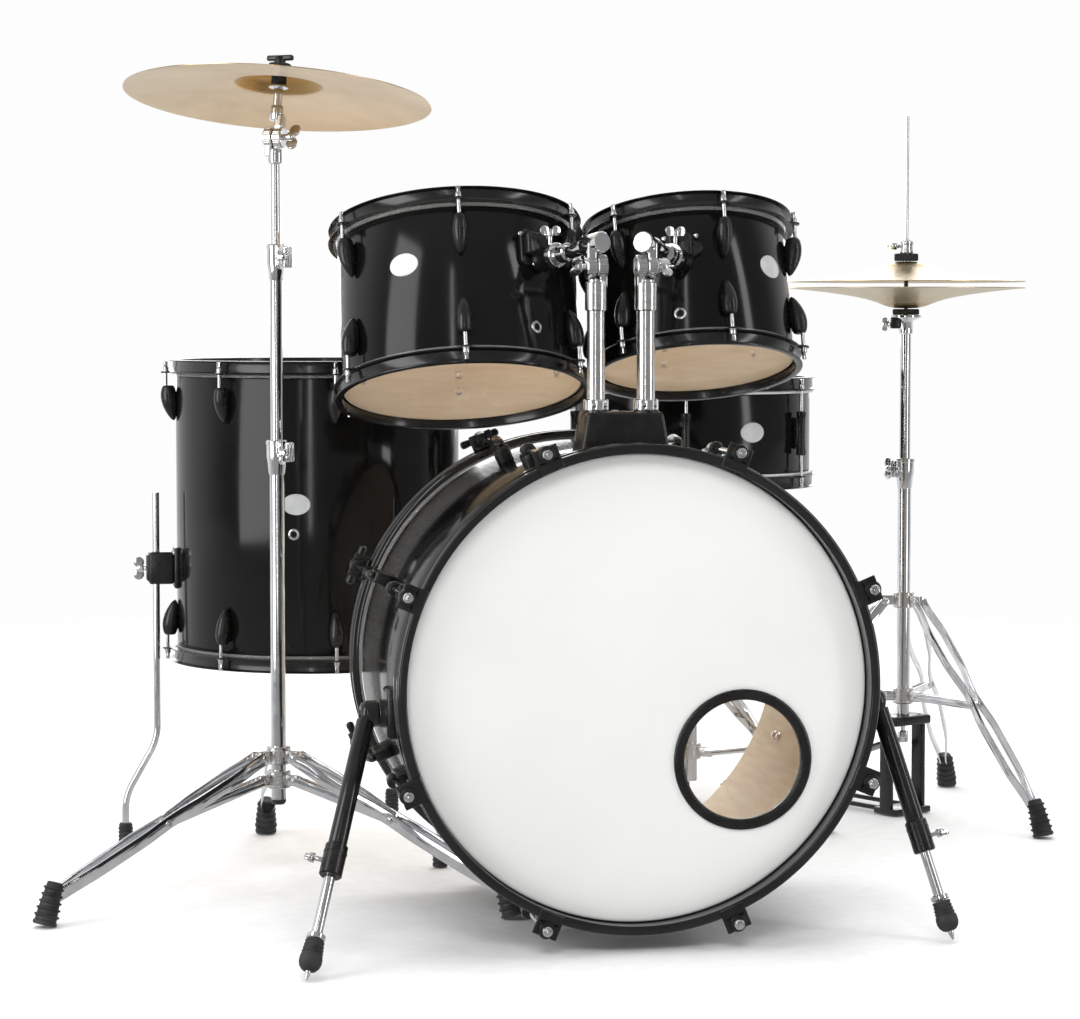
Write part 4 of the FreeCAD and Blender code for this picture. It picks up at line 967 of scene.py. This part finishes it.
def strap(p, q, wide, thick, spread=(0.3, 0, 1), bow=0.0):
    # flat steel strap with rounded ends, sprung sideways between its rivets
    p, q = Vector(p) * mm, Vector(q) * mm
    way = (q - p).normalized()
    side = Vector(spread)
    side = (side - way * side.dot(way)).normalized()
    face = way.cross(side)
    place = Matrix(((way.x, side.x, face.x, 0), (way.y, side.y, face.y, 0), (way.z, side.z, face.z, 0), (0, 0, 0, 1)))
    run = (q - p).length + wide * 0.5 * mm
    bm = bmesh.new()
    bmesh.ops.create_cube(bm, size=1.0, matrix=Matrix.Diagonal((run, wide * mm, thick * mm, 1)))
    lengths = [e for e in bm.edges if abs(e.verts[0].co.x - e.verts[1].co.x) > run * 0.5]
    bmesh.ops.subdivide_edges(bm, edges=lengths, cuts=28, use_grid_fill=True)
    corners = [e for e in bm.edges if abs((e.verts[0].co - e.verts[1].co).z) > thick * mm * 0.5
               and all(abs(v.co.x) > run * 0.49 and abs(v.co.y) > wide * mm * 0.49 for v in e.verts)]
    bmesh.ops.bevel(bm, geom=corners, offset=min(wide * 0.46 * mm, run / 31), offset_type="OFFSET", affect="EDGES",
                    segments=5, profile=0.5, material=-1)
    softEdges(bm, 0.5 * mm, 2, 60)
    knots = [(0.0, 0.0), (0.06, 0.0), (0.16, 1.0), (0.33, 1.0), (0.43, 0.0), (0.49, 0.0), (0.6, 1.0), (0.82, 1.0),
             (0.95, 0.0), (1.01, 0.0)]
    for v in bm.verts:
        t = min(1.0, max(0.0, v.co.x / run + 0.5))
        for (a, low), (b, high) in zip(knots, knots[1:]):
            if a <= t <= b:
                v.co.z += bow * mm * (low + (high - low) * (t - a) / (b - a))
                break
    bm.transform(Matrix.Translation((p + q) / 2) @ place)
    return bm


def tripodParts(look):
    # legs, braces, rivets and collars of one tripod
    x, y = look["at"]
    steel, pins, rubber = [], [], []
    reach, top, low, jointAt = look["reach"], look["top"], look["low"], look["joint"]
    slope = (34 - top) / (reach - 16 - 30)
    rivet = (jointAt, top + slope * (jointAt - 30))
    for way in look["ways"]:
        turn = at(x, y, 0) @ turned(way)
        for off in (-9.5, 9.5):
            out = 1 if off > 0 else -1
            steel.append(moved(strap((30, off, top), (reach - 16, out * 4.5, 34 - slope * 4), look["strap"], 2.6,
                                     (0.3, 0, 1), -out * look["bow"]), turn))
            pins.append(moved(machineScrew((33, off + out * 1.2, top - 1), (0, out, 0), 5.0), turn))
            pins.append(moved(machineScrew((rivet[0], out * 8.8, rivet[1]), (0, out, 0), 5.0), turn))
        for off in (-5.8, 5.8):
            steel.append(moved(strap((30, off, low), (rivet[0], off, rivet[1]), 12.0, 2.4, (0.2, 0, 1)), turn))
        pins.append(moved(rod((33, -12, top - 1), (33, 12, top - 1), 3.0, segments=20), turn))
        pins.append(moved(rod((rivet[0], -12, rivet[1]), (rivet[0], 12, rivet[1]), 3.0, segments=20), turn))
        pins.append(moved(rod((30, -9, low), (30, 9, low), 3.0, segments=20, soft=0.6), turn))
        start, end = Vector((reach - 17, 0, 52)), Vector((reach + 1, 0, 2))
        way3 = (end - start).normalized()
        grip = [(0, -1), (8.6, -1), (9.8, 0.4), (10.2, 3)]
        for i in range(5):
            z, base = 5 + i * 8.6, 10.4 + i * 0.75
            grip += [(base, z), (base + 2.6, z + 1.2), (base + 2.8, z + 2.6), (base + 0.4, z + 4.2)]
        grip += [(13.6, 47.5), (15.4, 49.4), (15.2, 52.4), (13.6, 53.6), (0, 53.6)]
        foot = moved(lathe(grip, 40), facing(start, way3))
        bmesh.ops.bisect_plane(foot, geom=list(foot.verts) + list(foot.edges) + list(foot.faces),
                               plane_co=(0, 0, 0.0004),
                               plane_no=(0, 0, -1), clear_outer=True)
        rim = [e for e in foot.edges if len(e.link_faces) == 1]
        if rim:
            bmesh.ops.holes_fill(foot, edges=rim, sides=0)
        rubber.append(moved(foot, turn))
    hubs = []
    for z in (top, low):
        r = look["tube"]
        hubs.append(moved(lathe([(r + 0.1, -12), (r + 4.4, -12), (r + 6, -10.6), (r + 6, 10.6), (r + 4.4, 12),
                                 (r + 0.1, 12)],
                                52), at(x, y, z)))
        for way in look["ways"]:
            hubs.append(moved(slab((24, 8.2, 15), at(r + 14, 0, z), 1.8, 3), at(x, y, 0) @ turned(way)))
    return steel, pins, rubber, hubs


def tubeWithCap(p, q, radius, bore):
    return ring(p, q, radius, bore, 0.8, 56)


def buildTripod(look):
    steel, pins, rubber, hubs = tripodParts(look)
    name, node = look["name"], look["node"]
    put(name + "Legs", gather(steel), "chrome", "kit", (node,))
    put(name + "Rivets", gather(pins), "brushedChrome", "kit", (node,))
    put(name + "Feet", gather(rubber), "rubberBlack", "kit", (node,))
    put(name + "LegCollars", gather(hubs), look["hubFinish"], "kit", (node,))


crash = {"name": "crashStand", "node": "crash_stand", "at": (-378.0, -70.0), "ways": (217.0, 312.0, 87.0),
         "reach": 395.0,
         "top": 172.0, "low": 140.0, "joint": 200.0, "tube": 10.0, "hubFinish": "brushedChrome", "tiltZ": 990.0,
         "strap": 17.0, "bow": 4.0, "back": -8.8, "boltTurn": -32.7, "edge": 51.0, "radius": 203.0}


def cymbalShape(radius, bell, bellHigh, bowHigh, thick=1.1, hole=6.6):
    # spun sheet: bell, shoulder, bow and a turned edge
    lower = []
    for i in range(7):
        t = i / 6
        lower.append((hole + (bell - hole) * t, bowHigh + bellHigh * math.sqrt(max(0.0, 1 - t ** 2.1)) * 0.985 + 0.1))
    lower[-1] = (bell + 0.6, bowHigh + 0.7)
    lower.append((bell + 3, bowHigh + 0.0))
    for i in range(1, 11):
        t = i / 10
        r = bell + 3 + (radius - bell - 3) * t
        lower.append((r, bowHigh * (1 - t ** 1.7)))
    upper = [(r, z + thick) for r, z in reversed(lower)]
    return lathe(lower + upper, 200)


def crashPlace():
    x, y = crash["at"]
    return at(x, y, crash["tiltZ"]) @ turned(crash["boltTurn"]) @ turned(crash["back"], "X")


def buildCrash():
    x, y = crash["at"]
    buildTripod(crash)
    put("crashLowerTube", tubeWithCap((x, y, 112), (x, y, 590), 10.0, 9.0), "chrome", "kit", ("crash_stand",))
    put("crashLowerClamp", pinchCollar(x, y, 556, 592, 14.0, 9.0, -35.0), "chrome", "kit", ("crash_stand",))
    plug = moved(lathe([(0, 0), (7.4, 0), (9.2, 2), (10.0, 5), (10.0, 9), (0, 9)], 40), at(x, y, 106))
    put("crashTubePlug", plug, "castBlack", "kit", ("crash_stand",))
    middle = tubeWithCap((x, y, 470), (x, y, 846), 8.5, 7.0)
    put("crashMiddleTube", middle, "chrome", "crash_middle", ("crash_middle_tube",))
    put("crashMiddleClamp", pinchCollar(x, y, 812, 850, 12.4, 7.0, -35.0), "chrome", "crash_middle",
        ("crash_middle_tube",))
    z = crash["tiltZ"]
    upper = [rod((0, 0, 740), (0, 0, 962), 6.5, segments=48, soft=0.8),
             moved(lathe([(0, 0), (7.4, 0), (9.6, 2), (10, 5), (10, 16), (9.2, 19), (7, 20.4), (0, 20.4)], 48),
                   at(0, 0, 955)),
             slab((9.4, 16, 26), at(-8, 0, 978), 2.0, 3),
             toothedDisc((-13, 0, z), (-0.5, 0, z), 13.8),
             rod((-14, 0, z), (18, 0, z), 4.0, segments=28, soft=0.8),
             moved(wingScrew(6, 17, 4.0, 13), facing((16, 0, z), (1, 0, 0), 60))]
    put("crashUpperTube", moved(gather(upper), at(x, y, 0) @ turned(crash["boltTurn"])), "chrome", "crash_upper",
        ("crash_upper_tube",))
    lean = crashPlace()
    post = lathe([(0, 22), (8, 22), (9, 23.4), (9, 39), (8.2, 41), (6.5, 42), (6.5, 65), (7.4, 66), (12.2, 66),
                  (13, 66.8),
                  (13, 68.2), (12.2, 69), (4.6, 69), (4.0, 70), (4.0, 104), (3.0, 106), (0, 106)], 48)
    tilter = gather([toothedDisc((0.5, 0, 0), (12.9, 0, 0), 13.8), slab((12, 14, 30), at(5.6, 0, 15), 2.4, 3), post])
    put("crashTilter", moved(tilter, lean), "chrome", "crash_head", ("crash_tilter",))
    plate = moved(cymbalShape(crash["radius"], 58.0, 22.0, 18.0), at(0, 0, crash["edge"]))
    put("crashCymbal", moved(plate, lean), "crashBronze", "crash_cymbal", ("crash_cymbal",), 60)
    felts = gather([moved(lathe([(4.9, 0), (9, 0), (10, 1), (10, 17), (9, 18), (4.9, 18)], 40), at(0, 0, 69.5)),
                    moved(lathe([(4.9, 0), (14, 0), (15, 0.8), (15, 3.2), (14, 4), (4.9, 4)], 40), at(0, 0, 94))])
    put("crashFelts", moved(felts, lean), "feltBlack", "crash_nut", ("crash_wing_nut",))
    nut = lathe([(4.1, 98.4), (6.8, 98.4), (7.8, 99.4), (7.4, 104), (6.2, 107.6), (4.1, 108)], 36)
    blade = slab((38, 7.6, 7.4), at(0, 0, 106.2), 2.4, 4)
    put("crashWingNut", moved(gather([nut, blade]), lean), "castBlack", "crash_nut", ("crash_wing_nut",))
    print("crash built")


# the third colour is the darker bell colour, painted shade of the crash bell's hollow
finishes["crashBronze"] = cymbalFinish("crashBronze", crashPlace(), (0.56, 0.42, 0.25), (0.84, 0.72, 0.54),
                                       (0.47, 0.3, 0.12), 58.0)
buildCrash()


# hi-hat

hat = {"name": "hatStand", "node": "hihat_stand", "at": (614.0, 330.0), "ways": (-62.0, 58.0, 178.0), "reach": 285.0,
       "top": 326.0, "low": 180.0, "joint": 150.0, "tube": 10.0, "strap": 13.0, "bow": 7.0,
       "hubFinish": "brushedChrome", "turn": 118.0,
       "hinge": 250.0, "radius": 178.0}


def hatPlate():
    # bell that flares out smoothly into a straight bow
    lower = [(6.6, 29.9), (16, 29.4), (24, 28.2), (31, 26.2), (37, 23.8), (44, 21.0), (52, 18.4), (62, 15.6),
             (76, 12.6),
             (96, 9.2), (120, 5.9), (145, 3.0), (163, 1.2), (178, 0.0)]
    return lathe(lower + [(r, z + 1.1) for r, z in reversed(lower)], 200)


def buildHat():
    x, y = hat["at"]
    buildTripod(hat)
    put("hatLowerTube", tubeWithCap((x, y, 150), (x, y, 540), 10.0, 8.8), "chrome", "kit", ("hihat_stand",))
    put("hatLowerClamp", pinchCollar(x, y, 505, 541, 14.0, 8.8, 205.0), "chrome", "kit", ("hihat_stand",))
    seat = at(x, y, 0) @ turned(hat["turn"])
    h = hat["hinge"]
    frameParts = [slab((48, 76, 14), at(0, 0, 143), 4.0, 4), slab((24, 8, 128), at(0, 34, 72), 2.6, 3),
                  slab((24, 8, 128), at(0, -34, 72), 2.6, 3), slab((48, 76, 10), at(0, 0, 5), 2.4, 3),
                  slab((h - 20, 7, 7), at(h / 2 + 12, 28, 7.2), 1.6, 3),
                  slab((h - 20, 7, 7), at(h / 2 + 12, -28, 7.2), 1.6, 3),
                  slab((72, 84, 9), at(h + 24, 0, 4.5), 2.4, 3), slab((18, 8, 26), at(h, 38, 19), 3.0, 3),
                  slab((18, 8, 26), at(h, -38, 19), 3.0, 3)]
    put("hatFrame", moved(gather(frameParts), seat), "castBlack", "kit", ("hihat_stand",))
    axle = gather([rod((h, -43, 24), (h, 43, 24), 3.0, segments=24, soft=0.5)]
                  + [machineScrew((sx, sy, 9), (0, 0, 1), 3.4) for sx in (h + 10, h + 46) for sy in (-26, 26)])
    put("hatFrameAxle", moved(axle, seat), "chrome", "kit", ("hihat_stand",))
    start, end = Vector((h + 6, 0, 24)), Vector((26, 0, 106))
    way = (end - start).normalized()
    tilt = math.degrees(math.atan2(-(end.z - start.z), end.x - start.x))
    run = (end - start).length
    middle = (start + end) / 2
    lay = at(*middle) @ turned(tilt, "Y")
    board = [moved(slab((run, 50, 4), Matrix.Identity(4), 1.2, 3), lay),
             rod((h, -30, 24), (h, 30, 24), 6.8, segments=36, soft=1.0),
             rod((26, -12, 106), (26, 12, 106), 5.8, segments=32, soft=1.0)]
    for i in range(9):
        board.append(moved(slab((4, 38, 1.6),
                                at(-run / 2 + 24 + i * (run - 48) / 8, 0, -2.2 if tilt > 90 or tilt < -90 else 2.2),
                                0.5), lay))
    put("hatFootboard", moved(gather(board), seat), "castBlack", "hat_board", ("hihat_footboard",))
    upper = [ring((x, y, 420), (x, y, 745), 8.2, 5.2, 0.6, 48),
             moved(lathe([(5, 0), (9.4, 0), (11, 1.6), (11, 18), (13, 21), (22.6, 24.4), (24, 25.6), (24, 28),
                          (22.8, 29),
                          (5, 29)], 56), at(x, y, 728))]
    put("hatUpperTube", gather(upper), "chrome", "hat_tube", ("hihat_upper_tube",))
    put("hatSeatScrewBlock", slab((14, 10, 17), at(x - 17, y, 745), 2.2, 3), "castBlack", "hat_tube",
        ("hihat_upper_tube",))
    put("hatSeatScrew", moved(wingScrew(6, 9, 2.5, 8), facing((x - 23, y, 743), (-1, 0, 0), 90)), "chrome", "hat_tube",
        ("hihat_upper_tube",))
    felt = [(5.3, 0), (18.4, 0), (20, 1.4), (20, 7.4), (18.4, 8.8), (5.3, 8.8)]
    put("hatSeatFelt", moved(lathe(felt, 48), at(x, y, 757.2)), "feltBlack", "hat_tube", ("hihat_upper_tube",))
    low = moved(hatPlate(), at(x, y, 798) @ turned(180, "X"))
    put("hatLowerCymbal", low, "hatBronze", "hat_tube", ("hihat_lower_cymbal",), 60)
    high = moved(hatPlate(), at(x, y, 806.5))
    put("hatUpperCymbal", high, "hatBronze", "hat_rod", ("hihat_upper_cymbal",), 60)
    pull = gather([rod((x, y, 112), (x, y, 1056), 3.2, segments=28, soft=1.0),
                   moved(slab((14, 14, 18), Matrix.Identity(4), 2.6, 3), at(x, y, 117))])
    put("hatPullRod", pull, "chrome", "hat_rod", ("hihat_pull_rod",))
    bell = 836.5
    clutch = gather([ring((x, y, bell - 16), (x, y, bell + 34), 6.0, 3.2, 0.8, 36),
                     moved(lathe([(5, 13), (9.6, 13), (11, 14.4), (11, 18), (10.2, 19), (10.2, 26), (11, 27),
                                  (11, 30.6),
                                  (9.6, 32), (5, 32)], 44), at(x, y, bell)),
                     moved(lathe([(5, -16), (9.2, -16), (10, -15.2), (10, -11.8), (9.2, -11), (5, -11)], 6),
                           at(x, y, bell))])
    put("hatClutch", clutch, "chrome", "hat_rod", ("hihat_pull_rod",))
    put("hatClutchScrew", moved(wingScrew(10, 13, 3.0, 10), facing((x - 8, y, bell + 24), (-1, 0, 0), 0)), "chrome",
        "hat_rod", ("hihat_pull_rod",))
    felts = gather([moved(lathe([(6, 0), (16.6, 0), (18, 1.2), (18, 9.8), (16.6, 11), (6, 11)], 44),
                          at(x, y, bell + 1.7)),
                    moved(lathe([(6, 0), (13, 0), (14, 1), (14, 6.4), (13, 7.4), (6, 7.4)], 44),
                          at(x, y, bell - 10.9))])
    put("hatClutchFelts", felts, "feltBlack", "hat_rod", ("hihat_pull_rod",))
    print("hi-hat built")


# the third colour is the darker bell colour, painted shade of the hi-hat bell's hollow
finishes["hatBronze"] = cymbalFinish("hatBronze", at(hat["at"][0], hat["at"][1], 0), (0.44, 0.34, 0.2),
                                     (0.66, 0.56, 0.38), (0.42, 0.32, 0.17), 40.0)
buildHat()


# snare stand and basket

snareStand = {"name": "snareStand", "node": "snare_stand", "at": (278.0, 325.0), "ways": (80.0, 200.0, 320.0),
              "reach": 225.0, "top": 230.0, "low": 105.0, "joint": 130.0, "tube": 12.7, "strap": 13.0, "bow": 6.0,
              "hubFinish": "brushedChrome",
              "armWays": (30.0, 150.0, 270.0)}


def buildSnareStand():
    x, y = snareStand["at"]
    buildTripod(snareStand)
    put("snareStandTube", tubeWithCap((x, y, 60), (x, y, 372), 12.7, 10.1), "chrome", "kit", ("snare_stand",))
    put("snareStandClamp", pinchCollar(x, y, 340, 372, 17.0, 12.0, 230.0), "chrome", "kit", ("snare_stand",))
    hub = moved(lathe([(0, -16), (16, -16), (19, -13), (20, -9), (20, 9), (19, 13), (16, 16), (0, 16)], 56),
                at(x, y, 431))
    base = 585.0 - 70.0 - 11.0
    arms, pads = [], []
    for way in snareStand["armWays"]:
        turn = at(x, y, 0) @ turned(way)
        pts = [(14, 431), (150, base - 14), (195, base - 7), (195, base + 28)]
        path = [(a, 0, b) for a, b in pts]
        arms.append(moved(bentTube(path, 4.6, 12), turn))
        pads.append(moved(slab((17, 14.6, 11.6), at(192.4, 0, base - 6.2), 3.0, 4), turn))
        pads.append(moved(slab((10, 14.6, 38), at(196, 0, base + 14), 3.0, 4), turn))
    put("basketStem", gather([rod((x, y, 240), (x, y, 424), 9.5, segments=48, soft=1.0), hub]), "chrome", "snare",
        ("snare_basket",))
    put("basketArms", gather(arms), "chrome", "snare", ("snare_basket",))
    put("basketGrips", gather(pads), "rubberBlack", "snare", ("snare_basket",))
    print("snare stand built")


buildSnareStand()


# bass pedal

pedal = {"back": -146.0, "axleZ": 168.0, "lean": 42.0, "reach": 178.0}


def buildPedal():
    back = pedal["back"]
    y = back + 33
    plates = [slab((90, 292, 6), at(0, back + 160, 3), 1.6, 3), slab((56, 66, 9.6), at(0, back - 3, 14.8), 2.4, 3),
              slab((56, 18, 19), at(0, back + 21, 9.6), 2.0, 3), slab((28, 46, 7.4), at(0, back + 7, 37.2), 2.2, 3),
              slab((28, 25, 22), at(0, back + 17.5, 30), 2.4, 3)]
    for x in (-44, 44):
        plates.append(slab((8, 26, 180), at(x, y, 91), 2.6, 3))
        plates.append(ring((x - 4, y, pedal["axleZ"]), (x + 4, y, pedal["axleZ"]), 12.6, 5.0, 1.4, 40))
    for x in (-41, 41):
        plates.append(slab((8, 20, 26), at(x, 126, 18.8), 3.0, 3))
    put("pedalFrame", gather(plates), "castBlack", "kit", ("bass_pedal_frame",))
    axles = gather([rod((-48, y, pedal["axleZ"]), (48, y, pedal["axleZ"]), 5.0, segments=6, soft=0.5),
                    rod((-45, 126, 24), (45, 126, 24), 3.0, segments=24, soft=0.5)])
    put("pedalAxles", axles, "chrome", "kit", ("bass_pedal_frame",))
    start, end = Vector((0, 132, 24)), Vector((0, back + 60, 92))
    run = (end - start).length
    tilt = math.degrees(math.atan2(end.z - start.z, end.y - start.y))
    lay = at(*((start + end) / 2)) @ turned(tilt, "X")
    up = 1 if abs(tilt) < 90 else -1
    board = [moved(slab((68, run, 5), Matrix.Identity(4), 1.6, 3), lay),
             rod((-33, 126, 24), (33, 126, 24), 6.8, segments=36, soft=1.0)]
    for i in range(8):
        board.append(moved(slab((50, 5, 1.6), at(0, -run / 2 + 26 + i * (run - 60) / 7, 2.6 * up), 0.5), lay))
    put("pedalBoard", gather(board), "castBlack", "pedal_board", ("bass_pedal_board",))
    lean = math.radians(pedal["lean"])
    way = Vector((0, math.sin(lean), math.cos(lean)))
    tip = Vector((0, y, pedal["axleZ"])) + way * pedal["reach"]
    side = Vector((0, math.cos(lean), -math.sin(lean)))
    hub = gather([ring((-20, y, pedal["axleZ"]), (20, y, pedal["axleZ"]), 12.0, 5.5, 1.2, 44),
                  ring((4, y, pedal["axleZ"]), (7, y, pedal["axleZ"]), 26.0, 11.0, 0.8, 64),
                  ring((7, y, pedal["axleZ"]), (13, y, pedal["axleZ"]), 22.6, 11.0, 0.4, 64),
                  ring((13, y, pedal["axleZ"]), (16, y, pedal["axleZ"]), 26.0, 11.0, 0.8, 64)])
    put("beaterHub", hub, "castBlack", "pedal_beater", ("bass_pedal_beater",))
    put("beaterRod", rod(Vector((0, y, pedal["axleZ"])) + way * 8, tip, 4.0, segments=28, soft=0.6), "chrome",
        "pedal_beater", ("bass_pedal_beater",))
    feltBm = lathe([(0, -24), (16, -24), (19, -22.6), (20, -19), (20, 19), (19, 22.6), (16, 24), (0, 24)], 52)
    put("beaterFelt", moved(feltBm, facing(tip, side)), "feltGrey", "pedal_beater", ("bass_pedal_beater",))
    print("pedal built")


buildPedal()


# floor, light and camera

def stageFloor():
    # pale floor that fades out before its rim, and darker towards the front where only reflections see it
    bm = bmesh.new()
    bmesh.ops.create_circle(bm, cap_ends=True, segments=96, radius=6.0)
    mesh = bpy.data.meshes.new("stageFloor")
    bm.to_mesh(mesh)
    bm.free()
    finish, nodes, links, shader, coords = newFinish("paleFloor")
    length = nodes.new("ShaderNodeVectorMath")
    length.operation = "LENGTH"
    links.new(coords.outputs["Object"], length.inputs[0])
    fade = nodes.new("ShaderNodeMapRange")
    fade.interpolation_type = "SMOOTHSTEP"
    fade.inputs["From Min"].default_value = 1.3
    fade.inputs["From Max"].default_value = 3.8
    fade.inputs["To Min"].default_value = 1.0
    fade.inputs["To Max"].default_value = 0.0
    links.new(length.outputs["Value"], fade.inputs["Value"])
    links.new(fade.outputs["Result"], shader.inputs["Alpha"])
    speckle = noiseInto(nodes, links, coords.outputs["Object"], 40, 4.0)
    blendColours(nodes, links, speckle, (0.88, 0.88, 0.88), (0.92, 0.92, 0.92), shader)
    shader.inputs["Roughness"].default_value = 0.9
    shader.inputs["Specular IOR Level"].default_value = 0.1
    split = nodes.new("ShaderNodeSeparateXYZ")
    links.new(coords.outputs["Object"], split.inputs["Vector"])
    depth = nodes.new("ShaderNodeMapRange")
    depth.inputs["From Min"].default_value = -0.9
    depth.inputs["From Max"].default_value = 1.4
    depth.inputs["To Min"].default_value = stageLook["frontFloor"]
    depth.inputs["To Max"].default_value = stageLook["backFloor"]
    links.new(split.outputs["Y"], depth.inputs["Value"])
    glow = nodes.new("ShaderNodeEmission")
    links.new(depth.outputs["Result"], glow.inputs["Strength"])
    path = nodes.new("ShaderNodeLightPath")
    mix = nodes.new("ShaderNodeMixShader")
    links.new(path.outputs["Is Glossy Ray"], mix.inputs["Fac"])
    links.new(shader.outputs["BSDF"], mix.inputs[1])
    links.new(glow.outputs["Emission"], mix.inputs[2])
    links.new(mix.outputs["Shader"], nodes["Material Output"].inputs["Surface"])
    mesh.materials.append(finish)
    floor = bpy.data.objects.new("stageFloor", mesh)
    floor.location = (0, 0, -0.0015)
    bpy.context.scene.collection.objects.link(floor)


def softBox(name, spot, aim, width, height, power, mirrored=True):
    lamp = bpy.data.lights.new(name, "AREA")
    lamp.shape = "RECTANGLE"
    lamp.size = width
    lamp.size_y = height
    lamp.energy = power
    lamp.color = (1.0, 1.0, 1.0)
    thing = bpy.data.objects.new(name, lamp)
    thing.location = spot
    thing.rotation_euler = (Vector(aim) - Vector(spot)).to_track_quat("-Z", "Y").to_euler()
    thing.visible_camera = False
    thing.visible_glossy = mirrored
    bpy.context.scene.collection.objects.link(thing)


def stageWorld():
    # white backdrop all round for the view; for light and reflections white behind and dim in front
    world = bpy.data.worlds.new("paleWorld")
    world.use_nodes = True
    nodes, links = world.node_tree.nodes, world.node_tree.links
    out = nodes["World Output"]
    plain = nodes["Background"]
    plain.inputs["Color"].default_value = (1, 1, 1, 1)
    plain.inputs["Strength"].default_value = 0.985
    surround = nodes.new("ShaderNodeBackground")
    coords = nodes.new("ShaderNodeTexCoord")
    split = nodes.new("ShaderNodeSeparateXYZ")
    links.new(coords.outputs["Generated"], split.inputs["Vector"])
    shades = []
    for axis, low, high, dim, bright in (("Y", -0.15, 0.45, stageLook["front"], stageLook["back"]),
                                         ("Z", 0.25, 0.95, 0.0, stageLook["top"])):
        span = nodes.new("ShaderNodeMapRange")
        span.interpolation_type = "SMOOTHSTEP"
        span.inputs["From Min"].default_value = low
        span.inputs["From Max"].default_value = high
        span.inputs["To Min"].default_value = dim
        span.inputs["To Max"].default_value = bright
        links.new(split.outputs[axis], span.inputs["Value"])
        shades.append(span.outputs["Result"])
    lighter = nodes.new("ShaderNodeMath")
    lighter.operation = "MAXIMUM"
    links.new(shades[0], lighter.inputs[0])
    links.new(shades[1], lighter.inputs[1])
    links.new(lighter.outputs[0], surround.inputs["Strength"])
    path = nodes.new("ShaderNodeLightPath")
    mix = nodes.new("ShaderNodeMixShader")
    links.new(path.outputs["Is Camera Ray"], mix.inputs["Fac"])
    links.new(surround.outputs["Background"], mix.inputs[1])
    links.new(plain.outputs["Background"], mix.inputs[2])
    links.new(mix.outputs["Shader"], out.inputs["Surface"])
    bpy.context.scene.world = world


stageLook = {"front": 0.32, "back": 1.0, "top": 0.5, "frontFloor": 0.3, "backFloor": 0.85}
stageFloor()
stageWorld()
softBox("stripLeft", (-2.75, -1.4, 1.2), (0, 0.1, 1.2), 1.5, 4.0, 70)
softBox("stripMid", (-1.15, -3.6, 1.2), (0, 0, 1.2), 0.16, 4.4, 14)
softBox("stripRight", (2.3, -2.0, 1.2), (0, 0, 1.2), 0.4, 4.2, 26)
softBox("keyHigh", (-0.9, -4.2, 3.0), (0, -0.2, 0.4), 2.6, 1.4, 95, False)
softBox("topWide", (0.0, 0.4, 3.4), (0, 0.1, 0.5), 3.0, 2.4, 85, False)
softBox("backWide", (0.5, 3.3, 1.7), (0.1, 0, 0.4), 3.2, 2.2, 60)
bpy.context.scene.view_settings.view_transform = "Standard"

cameraLook = {"spot": (-0.785, -4.10, 0.757), "pitch": 86.35, "yaw": -10.7, "lens": 101.67}
lens = bpy.data.cameras.new("viewCamera")
lens.lens = cameraLook["lens"]
lens.sensor_width = 36.0
camera = bpy.data.objects.new("viewCamera", lens)
camera.location = cameraLook["spot"]
camera.rotation_euler = (math.radians(cameraLook["pitch"]), 0, math.radians(cameraLook["yaw"]))
bpy.context.scene.collection.objects.link(camera)
bpy.context.scene.camera = camera
print("stage ready")
